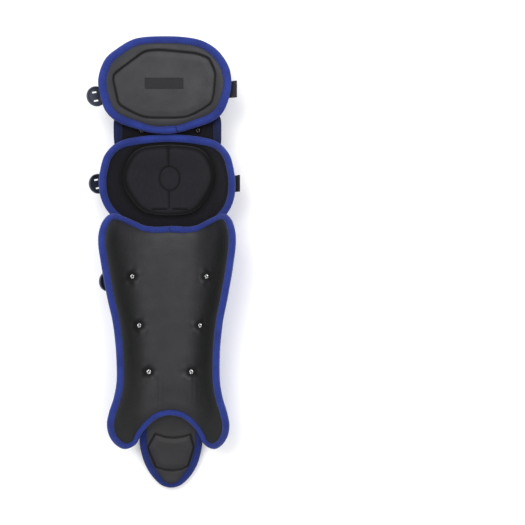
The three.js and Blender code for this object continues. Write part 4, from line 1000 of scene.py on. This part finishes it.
stitches("instep_panel_stitches", dotted, instep_front, DARK_THREAD, 2.0, 1.6, 0.4, closed=False)

# Lame: a thin lip that bridges thigh and knee
LAME_NET = (100, 40)
lame_rows = sized(mirrored(LAME_OUTLINE), LAME_WIDTH, LAME_LENGTH, KNEE_ASIDE * 2, LAME_Y)
lame_loop = pad_loop(lame_rows, *LAME_NET, LAME_BACK + WRAP)
dress(slab("lame_lining", net_of(lame_loop, *LAME_NET), LAME_FRONT, LAME_BACK, LINER, "liner"), "lame_pad")
tape("lame_tape", lame_loop, LAME_FRONT, LAME_BACK, DEEP_SHADED_BLUE, "lame_binding", seed=12)


def shell_of(name, loop, net, front, back):
    """A moulded shell over the net inside a loop."""
    piece = slab(name + "_shell_plastic", net_of(loop, *net), front, back, SHELL_BLUE, "shell")
    dress(piece, name + "_shell")


shell_of("lame", inset(lame_loop, 6), LAME_NET, LAME_SHELL_FRONT, LAME_SHELL_BACK)

# Knee: brushed liner, cushion in its hollow, binding and cap
KNEE_NET = (110, 84)
FLARE_START, FLARE_RUN = 17, 17
KNEE_SLANT = (KNEE_BOTTOM + 30, KNEE_BOTTOM + 105)
KNEE_LIP_REACH, KNEE_SIDE_REACH = 0.62, 0.92
CAP_Y = -13
CUSHION_X, CUSHION_Y = -1, 4


def knee_front(points):
    return KNEE_LOW_FRONT + (KNEE_HIGH_FRONT - KNEE_LOW_FRONT) * smooth(points[:, 1], *KNEE_SLANT)


knee_rows = sized(mirrored(KNEE_OUTLINE), KNEE_WIDTH, KNEE_LENGTH, KNEE_ASIDE, KNEE_Y)
knee_loop = pad_loop(knee_rows, *KNEE_NET, deeper(knee_front, KNEE_EDGE + WRAP))
knee_back = deeper(knee_front, KNEE_EDGE)


def knee_liner_front(points):
    swell = -1.0 * smooth(rim_distance(points, knee_loop), BINDING_WIDTH, BINDING_WIDTH + 7)
    return knee_front(points) + swell + 0.15 * waver(points, 26, 21)


# The tape is narrower along the lip that hangs behind the shin pad
knee_reach = KNEE_LIP_REACH + (KNEE_SIDE_REACH - KNEE_LIP_REACH) * smooth(knee_loop[:, 1], -66, -52)
tape("knee_tape", knee_loop, knee_front, knee_back, BLUE, "knee_binding", reach=knee_reach, seed=15)
knee_seam = inset(knee_loop, TAPE_SEWN_AT * knee_reach)
stitches("knee_tape_stitches", knee_seam, deeper(knee_front, -THREAD_OVER), BLUE_THREAD)

CUSHION_NET = (120, 96)
cushion_back = deeper(knee_front, -SLACK - CLEAR)
cushion_edge = deeper(cushion_back, -2)
cushion_top = deeper(cushion_back, -CUSHION)
cushion_rows = sized(CUSHION_OUTLINE, CUSHION_WIDTH, CUSHION_LENGTH, CUSHION_X, CUSHION_Y)
cushion_loop = loop_of(cushion_rows, *CUSHION_NET, cushion_edge)
button = under([[CUSHION_X, CUSHION_Y + 2]], cushion_top)[0]
cushion_puffed = puffed(cushion_loop, cushion_edge, cushion_top, roll=13, level=0)
# Its sewn lines, from the button's middle, and how far each draws the cushion in
BUTTON_SQUASH, RING_WIDTH, RING_DRAW = 0.84, 1.7, 2.3
SEAM_X, SEAM_WIDTH, SEAM_WIDER, SEAM_END, SEAM_DRAW = -1, 1.4, 1.3, -46, 1.1
SLIT_Y, SLIT_WIDTH, SLIT_ENDS, SLIT_GAP, SLIT_DRAW = -46.5, 1.5, (25, 29), (2, 5), 1.6
CROWN_HEIGHT, CROWN_RADIUS, CROWN_WIDTH = 0.7, 34, 16


def knee_crease(points):
    """Shade in the hollow round the cushion, and where the liner is tucked at its top."""
    shade = 0.85 * (1 - smooth(rim_distance(points, cushion_loop), 2, 10))
    tucked = 0.8 * bump(points[:, 0] + 1, 45) * smooth(points[:, 1], 48, 58)
    return np.maximum(shade, tucked)


knee_masks = {"crease": knee_crease}
pad("knee_pad", "liner", knee_loop, KNEE_NET, knee_liner_front, knee_back, LINER, "liner", knee_masks, 0.7)


def cushion_lines(points):
    """How strongly a sewn line draws the cushion in: the button's ring, the middle seam and the slit."""
    out = points - button
    radius = np.hypot(out[:, 0], out[:, 1] * BUTTON_SQUASH)
    ring = bump(radius - BUTTON_RADIUS, RING_WIDTH)
    seam = bump(out[:, 0] - SEAM_X, SEAM_WIDTH + SEAM_WIDER * smooth(out[:, 1], 20, 34))
    seam *= smooth(radius, BUTTON_RADIUS, BUTTON_RADIUS + 2) * (out[:, 1] > SEAM_END)
    across = np.abs(out[:, 0])
    halves = (1 - smooth(across, *SLIT_ENDS)) * smooth(across, *SLIT_GAP)
    return ring, seam, bump(out[:, 1] - SLIT_Y, SLIT_WIDTH) * halves


def cushion_front(points):
    ring, seam, slit = cushion_lines(points)
    sewn = RING_DRAW * ring + SEAM_DRAW * seam + SLIT_DRAW * slit
    out = np.hypot(points[:, 0] - button[0], points[:, 1] - button[1])
    crown = CROWN_HEIGHT * bump(out - CROWN_RADIUS, CROWN_WIDTH)
    return cushion_puffed(points) + sewn - crown + 0.2 * waver(points, 34, 31)


# Painted shade in the cushion's sewn grooves, and a painted shadow round its edge
def cushion_groove_shade(points):
    ring, seam, slit = cushion_lines(points)
    edge_shadow = 0.9 * (1 - smooth(rim_distance(points, cushion_loop), 1, 7))
    return np.clip(0.7 * ring + 0.8 * seam + slit + edge_shadow, 0, 1)


cushion_masks = {"crease": cushion_groove_shade}
cushion_faces = cushion_front, cushion_back, CUSHION_CLOTH
pad("knee_cushion", "cloth", cushion_loop, CUSHION_NET, *cushion_faces, "liner", cushion_masks, 0.9)
for end, start, far in (("lower", -BUTTON_RADIUS - 3, -36), ("upper", BUTTON_RADIUS + 3, 34)):
    run = button + np.stack([np.full(12, 1.6), np.linspace(start, far, 12)], 1)
    thread_depth = deeper(cushion_front, 0.1)
    stitches(f"cushion_seam_{end}", run, thread_depth, DARK_THREAD, 2.4, 1.4, 0.3, closed=False)

# Shells: moulded plastic behind every pad
SHELL_INSET = 9


def cap_front(points):
    share = smooth(points[:, 1], FLARE_START, FLARE_START + FLARE_RUN)
    return CAP_FRONT + (CAP_FLARE_FRONT - CAP_FRONT) * share


# These shells are as smooth with half of their pad's rows and columns
for name, loop, net, front, back in (
    ("thigh", thigh_loop, THIGH_NET, SHELL_FRONT, SHELL_BACK),
    ("shin", shin_loop, SHIN_NET, SHELL_FRONT, SHELL_BACK),
    ("instep", instep_loop, INSTEP_NET, INSTEP_SHELL_FRONT, INSTEP_SHELL_BACK),
):
    shell_of(name, inset(loop, SHELL_INSET)[::2], (net[0] // 2, net[1] // 2), front, back)
CAP_NET = (80, 72)
cap_back = deeper(cap_front, SHELL)
cap_rows = sized(mirrored(CAP_OUTLINE), CAP_WIDTH, CAP_LENGTH, KNEE_ASIDE, CAP_Y)
shell_of("knee", loop_of(cap_rows, *CAP_NET, cap_back), CAP_NET, cap_front, cap_back)

# Linking straps and their rivets
LINK_END = 9
THIGH_LINK_Y = THIGH_Y - THIGH_LENGTH / 6
LAME_LINK_Y = LAME_Y + 1.5
CAP_UPPER_Y = KNEE_Y - KNEE_LENGTH * 0.02
CAP_LOWER_Y = KNEE_Y - KNEE_LENGTH * 0.33
SHIN_LINK_Y = SHIN_TOP - SHIN_LENGTH * 0.145
INSTEP_RIVET_X, INSTEP_RIVET_Y = 16, SHIN_TOP - SHIN_LENGTH * 0.81
ON_SHELL_GRIP = SHELL_FRONT - SEAT, LINK_ON_SHELL + STRAP
ON_LAME_GRIP = LAME_FRONT - SEAT, LINK_ON_LAME + STRAP
UPPER_LINK = [
    (CAP_UPPER_Y - LINK_END, LINK_IN_CAP),
    (CAP_UPPER_Y + LINK_END, LINK_IN_CAP),
    (LAME_Y - LAME_LENGTH * 0.68, LINK_ON_LAME),
    (LAME_LINK_Y, LINK_ON_LAME),
    (LAME_Y + LAME_LENGTH * 0.4, LINK_ON_LAME),
    (THIGH_LINK_Y - LINK_END, LINK_ON_SHELL),
    (THIGH_LINK_Y + LINK_END, LINK_ON_SHELL),
]
LOWER_LINK = [
    (SHIN_LINK_Y - LINK_END, LINK_ON_SHELL),
    (SHIN_LINK_Y + LINK_END, LINK_ON_SHELL),
    (KNEE_BOTTOM - 2.4 * LINK_END, LINK_IN_CAP),
    (CAP_LOWER_Y, LINK_IN_CAP),
    (CAP_LOWER_Y + LINK_END, LINK_IN_CAP),
]


def link_strap(name, x, rows):
    """A strap that lies on the layers, at the depths that the rows give along it."""
    route = monotone([row[0] for row in rows], [row[1] for row in rows])
    xs = np.linspace(x - WEBBING_WIDTH / 2, x + WEBBING_WIDTH / 2, 13)
    ys = np.linspace(rows[0][0], rows[-1][0], 70)
    net = np.stack(np.meshgrid(xs, ys), -1)
    faces = [lambda points, more=more: route(points[:, 1]) + more for more in (0, STRAP)]
    dress(slab(name + "_webbing", net, *faces, WOVEN, "webbing", angle=WEBBING_ANGLE, turned=True), name)


for side, name in SIDES:
    x = side * LINK_X
    link_strap(f"upper_strap_{name}", x, UPPER_LINK)
    link_strap(f"lower_strap_{name}", x, LOWER_LINK)
    rivet(f"thigh_rivet_{name}", x, THIGH_LINK_Y, *ON_SHELL_GRIP, True)
    rivet(f"lame_rivet_{name}", x, LAME_LINK_Y, *ON_LAME_GRIP, split=True, material=SHADED_NICKEL)
    rivet(f"cap_upper_rivet_{name}", x, CAP_UPPER_Y, LINK_IN_CAP, CAP_BACK, True)
    rivet(f"cap_lower_rivet_{name}", x, CAP_LOWER_Y, LINK_IN_CAP, CAP_BACK, True)
    rivet(f"shin_strap_rivet_{name}", x, SHIN_LINK_Y, *ON_SHELL_GRIP, True)
    instep_x = side * INSTEP_RIVET_X
    rivet(f"instep_rivet_{name}", instep_x, INSTEP_RIVET_Y, SHELL_FRONT - SEAT, INSTEP_SHELL_BACK, True)
for node, x, y in quilting:
    outer = LINK_ON_SHELL + WEBBING if node == "shin_rivet_upper_left" else SHELL_BACK
    rivet(node, x, y, DIMPLE_DEPTH, outer, split=True)

# Buckle discs on the outer side: webbing riveted to the shell, with a slotted disc under its end
WEBBING_RIVET_X = 9
SLOT_LENGTH, SLOT_WIDTH, SLOT_DEPTH, SLOT_PITCH, SLOT_TURN = 7.5, 2.4, 14, 12.7, 13
DISC_RIVET_OUT, WEBBING_START, WEBBING_STOP = -9.5, 1.5 - DISC_RADIUS, -5
ON_CAP = CAP_BACK + SLACK
KNEE_SIDE_Y = KNEE_Y - KNEE_LENGTH * 0.07
# Columns: name, y, the layer that it lies on, that shell's inner face, start, edge, free, tilt and drop
BUCKLES = [
    ("thigh", THIGH_Y - THIGH_LENGTH * 0.146, SHELL_BACK, SHELL_FRONT, 0.56, 0.81, 0, 28, 1.2),
    ("knee", KNEE_SIDE_Y, ON_CAP, CAP_FRONT, 0.46, 0.68, 0.27, 38, 0),
    ("shin", SHIN_TOP - SHIN_LENGTH * 0.28, SHELL_BACK, SHELL_FRONT, 0.42, 0.64, 0, 45, 3.5),
]
LOOPS = [
    ("thigh", THIGH_Y - THIGH_LENGTH * 0.07, SHELL_BACK, SHELL_FRONT, 0.6, 0.9),
    ("knee", KNEE_SIDE_Y, ON_CAP, CAP_FRONT, 0.46, 0.81),
]


def side_x(share):
    return share * KNEE_WIDTH / 2


def side_spots(y, start, end, count):
    """Points across the guard at one y, from one share of the knee's half width to another."""
    return np.array([[side_x(share), y] for share in np.linspace(start, end, count)])


def disc_profile():
    """The disc's section: a rounded edge, and a rim that stands over its face."""
    half = DISC_THICKNESS / 2
    edge = DISC_RADIUS
    face = edge - DISC_RIM
    rows = [(0.2, -half), (edge - 0.8, -half), (edge - 0.2, -half + 0.35), (edge, -half + 1.0)]
    rows += [(edge, half - 1.0), (edge - 0.25, half - 0.3), (edge - 0.9, half), (face + 0.5, half - 0.1)]
    return rows + [(face, half - 0.5), (face - 0.7, 0.75), (face - 1.3, 0.6), (0.2, 0.6)]


def cut_slots(disc, matrix):
    """Cuts the disc's two slots through it."""
    for way in (-1, 1):
        turn = Matrix.Rotation(math.radians(SLOT_TURN), 4, "Z")
        move = Matrix.Translation((SLOT_LENGTH * 0.2, way * SLOT_PITCH / 2, 0))
        where = Matrix.Translation(Vector(SHIFT * MM)) @ Matrix.Scale(MM, 4) @ matrix @ turn @ move
        shape = bmesh.new()
        box = Matrix.Diagonal((SLOT_LENGTH, SLOT_WIDTH, SLOT_DEPTH, 1))
        bmesh.ops.create_cube(shape, size=1, matrix=where @ box)
        cutter_mesh = bpy.data.meshes.new("slot")
        shape.to_mesh(cutter_mesh)
        shape.free()
        cutter = add_object("slot", cutter_mesh)
        modifier = disc.modifiers.new("slot", "BOOLEAN")
        modifier.operation = "DIFFERENCE"
        modifier.solver = "EXACT"
        modifier.object = cutter
        with bpy.context.temp_override(object=disc, active_object=disc):
            bpy.ops.object.modifier_apply(modifier=modifier.name)
        bpy.data.objects.remove(cutter)


for name, y, on, inner_face, start, edge, free, tilt, drop in BUCKLES:
    angle = math.radians(tilt)
    outward = np.array([-math.cos(angle), 0, math.sin(angle)])
    up = np.array([math.sin(angle), 0, math.cos(angle)])
    depth = on + CLEAR + WEBBING + FIT + DISC_THICKNESS / 2 + drop
    middle = place([[-side_x(edge), y]], depth)[0] + outward * DISC_RADIUS * (1 + free)
    spots = side_spots(y, -start, -edge, 14)
    rows = list(zip(place(spots, on + CLEAR), -normals(spots)))
    lift = DISC_THICKNESS / 2 + FIT + WEBBING
    for out in np.linspace(WEBBING_START, WEBBING_STOP, 4):
        rows.append((middle + outward * out + up * lift, -up))
    ribbon(f"{name}_disc_strap", rows, WEBBING, f"{name}_disc_webbing")
    disc_matrix = Matrix(np.stack([outward, np.cross(up, outward), up], 1).tolist()).to_4x4()
    disc_matrix.translation = Vector(middle)
    disc = lathe(f"{name}_disc_plate", disc_profile(), DISC_SEGMENTS, disc_matrix, SLATE, "disc")
    cut_slots(disc, disc_matrix)
    dress(disc, f"{name}_disc")
    pin_matrix = disc_matrix @ Matrix.Translation((DISC_RIVET_OUT, 0, -DISC_THICKNESS / 2 - FIT))
    pin_matrix = pin_matrix @ Matrix.Rotation(math.pi, 4, "X")
    pin_profile = dome_profile(WEBBING + DISC_THICKNESS + 3 * FIT)
    pin = lathe(f"{name}_disc_pin", pin_profile, DOME_SEGMENTS, pin_matrix, NICKEL, "rivet")
    dress(pin, f"{name}_disc_rivet")
    if name != "shin":
        rivet_x = WEBBING_RIVET_X - side_x(edge)
        rivet(f"{name}_webbing_rivet", rivet_x, y, inner_face - SEAT, on + CLEAR + WEBBING, True)

# Folded webbing loops on the inner side: two plies, joined by a turn round their tip
LOOP_PLY, LOOP_SPAN, LOOP_OVER, LOOP_ROUND, TURN_START = 1.25, 2 * STRAP - 1.35, 1.3, 0.6, 0.2
for name, y, on, inner_face, start, end in LOOPS:
    spots = side_spots(y, start, end, 24)
    first = place(spots, on + CLEAR)
    second = place(spots, on + CLEAR + LOOP_SPAN)
    outs = -normals(spots)
    tip = (first[-1] + second[-1] + outs[-1] * LOOP_OVER) / 2
    run = first[-1] - first[-2]
    run /= np.linalg.norm(run)
    half = np.linalg.norm(second[-1] - first[-1]) / 2 + LOOP_ROUND
    rows = list(zip(first, outs))
    for turn in np.linspace(TURN_START, math.pi - TURN_START, 9):
        radial = -outs[-1] * math.cos(turn) + run * math.sin(turn)
        rows.append((tip + radial * half, -radial))
    rows += list(zip((second + outs * LOOP_OVER)[::-1], -outs[::-1]))
    ribbon(f"{name}_loop_webbing", rows, LOOP_PLY, f"{name}_loop")
    rivet_x = side_x(start) + WEBBING_RIVET_X
    rivet(f"{name}_loop_rivet", rivet_x, y, inner_face - SEAT, on + CLEAR + 2 * STRAP, True)

# Floor, light and camera
FLOOR_REACH, FLOOR_DROP = 6.0, 0.4
KEY_POWER, FILL_POWER, WORLD_STRENGTH = 26, 14, 0.75
CAMERA_X, CAMERA_Y, CAMERA_HEIGHT, FOCUS_HEIGHT = 141.5, -123, 1600, 60
PHOTO_PIXELS, PIXEL_SIZE = 525, 1.5
floor_mesh = bpy.data.meshes.new("studio_floor")
floor_corners = [(x * FLOOR_REACH, y * FLOOR_REACH, 0) for x, y in ((-1, -1), (1, -1), (1, 1), (-1, 1))]
floor_mesh.from_pydata(floor_corners, [], [[0, 1, 2, 3]])
floor = add_object("studio_floor", floor_mesh)
floor.location.z = -FLOOR_DROP * MM
paper = Nodes("studio_paper")
white = paper.ramp(paper.noise(3, 2), (0.0, lin(252, 252, 252)), (1.0, lin(255, 255, 255)))
floor_mesh.materials.append(paper.finish(Base_Color=white, Roughness=0.9))


def area_light(name, stand, size, power):
    """A square light that faces the middle of the floor."""
    data = bpy.data.lights.new(name, "AREA")
    data.size = size
    data.energy = power
    light = add_object(name, data)
    light.location = stand
    light.rotation_euler = (-Vector(stand)).to_track_quat("-Z", "Y").to_euler()


area_light("key_light", (-0.7, 0.9, 1.7), 1.4, KEY_POWER)
area_light("fill_light", (1.0, 0.3, 1.5), 1.6, FILL_POWER)
world = bpy.data.worlds.new("studio")
world.use_nodes = True
backdrop = world.node_tree.nodes["Background"]
backdrop.inputs["Color"].default_value = (1, 1, 1, 1)
backdrop.inputs["Strength"].default_value = WORLD_STRENGTH

camera_data = bpy.data.cameras.new("camera")
camera_data.angle = 2 * math.atan(PHOTO_PIXELS * PIXEL_SIZE / 2 / (CAMERA_HEIGHT - FOCUS_HEIGHT))
camera = add_object("camera", camera_data)
camera.location = ((CAMERA_X + SHIFT[0]) * MM, (CAMERA_Y + SHIFT[1]) * MM, CAMERA_HEIGHT * MM)
scene = bpy.context.scene
scene.world = world
scene.camera = camera
scene.view_settings.view_transform = "Standard"
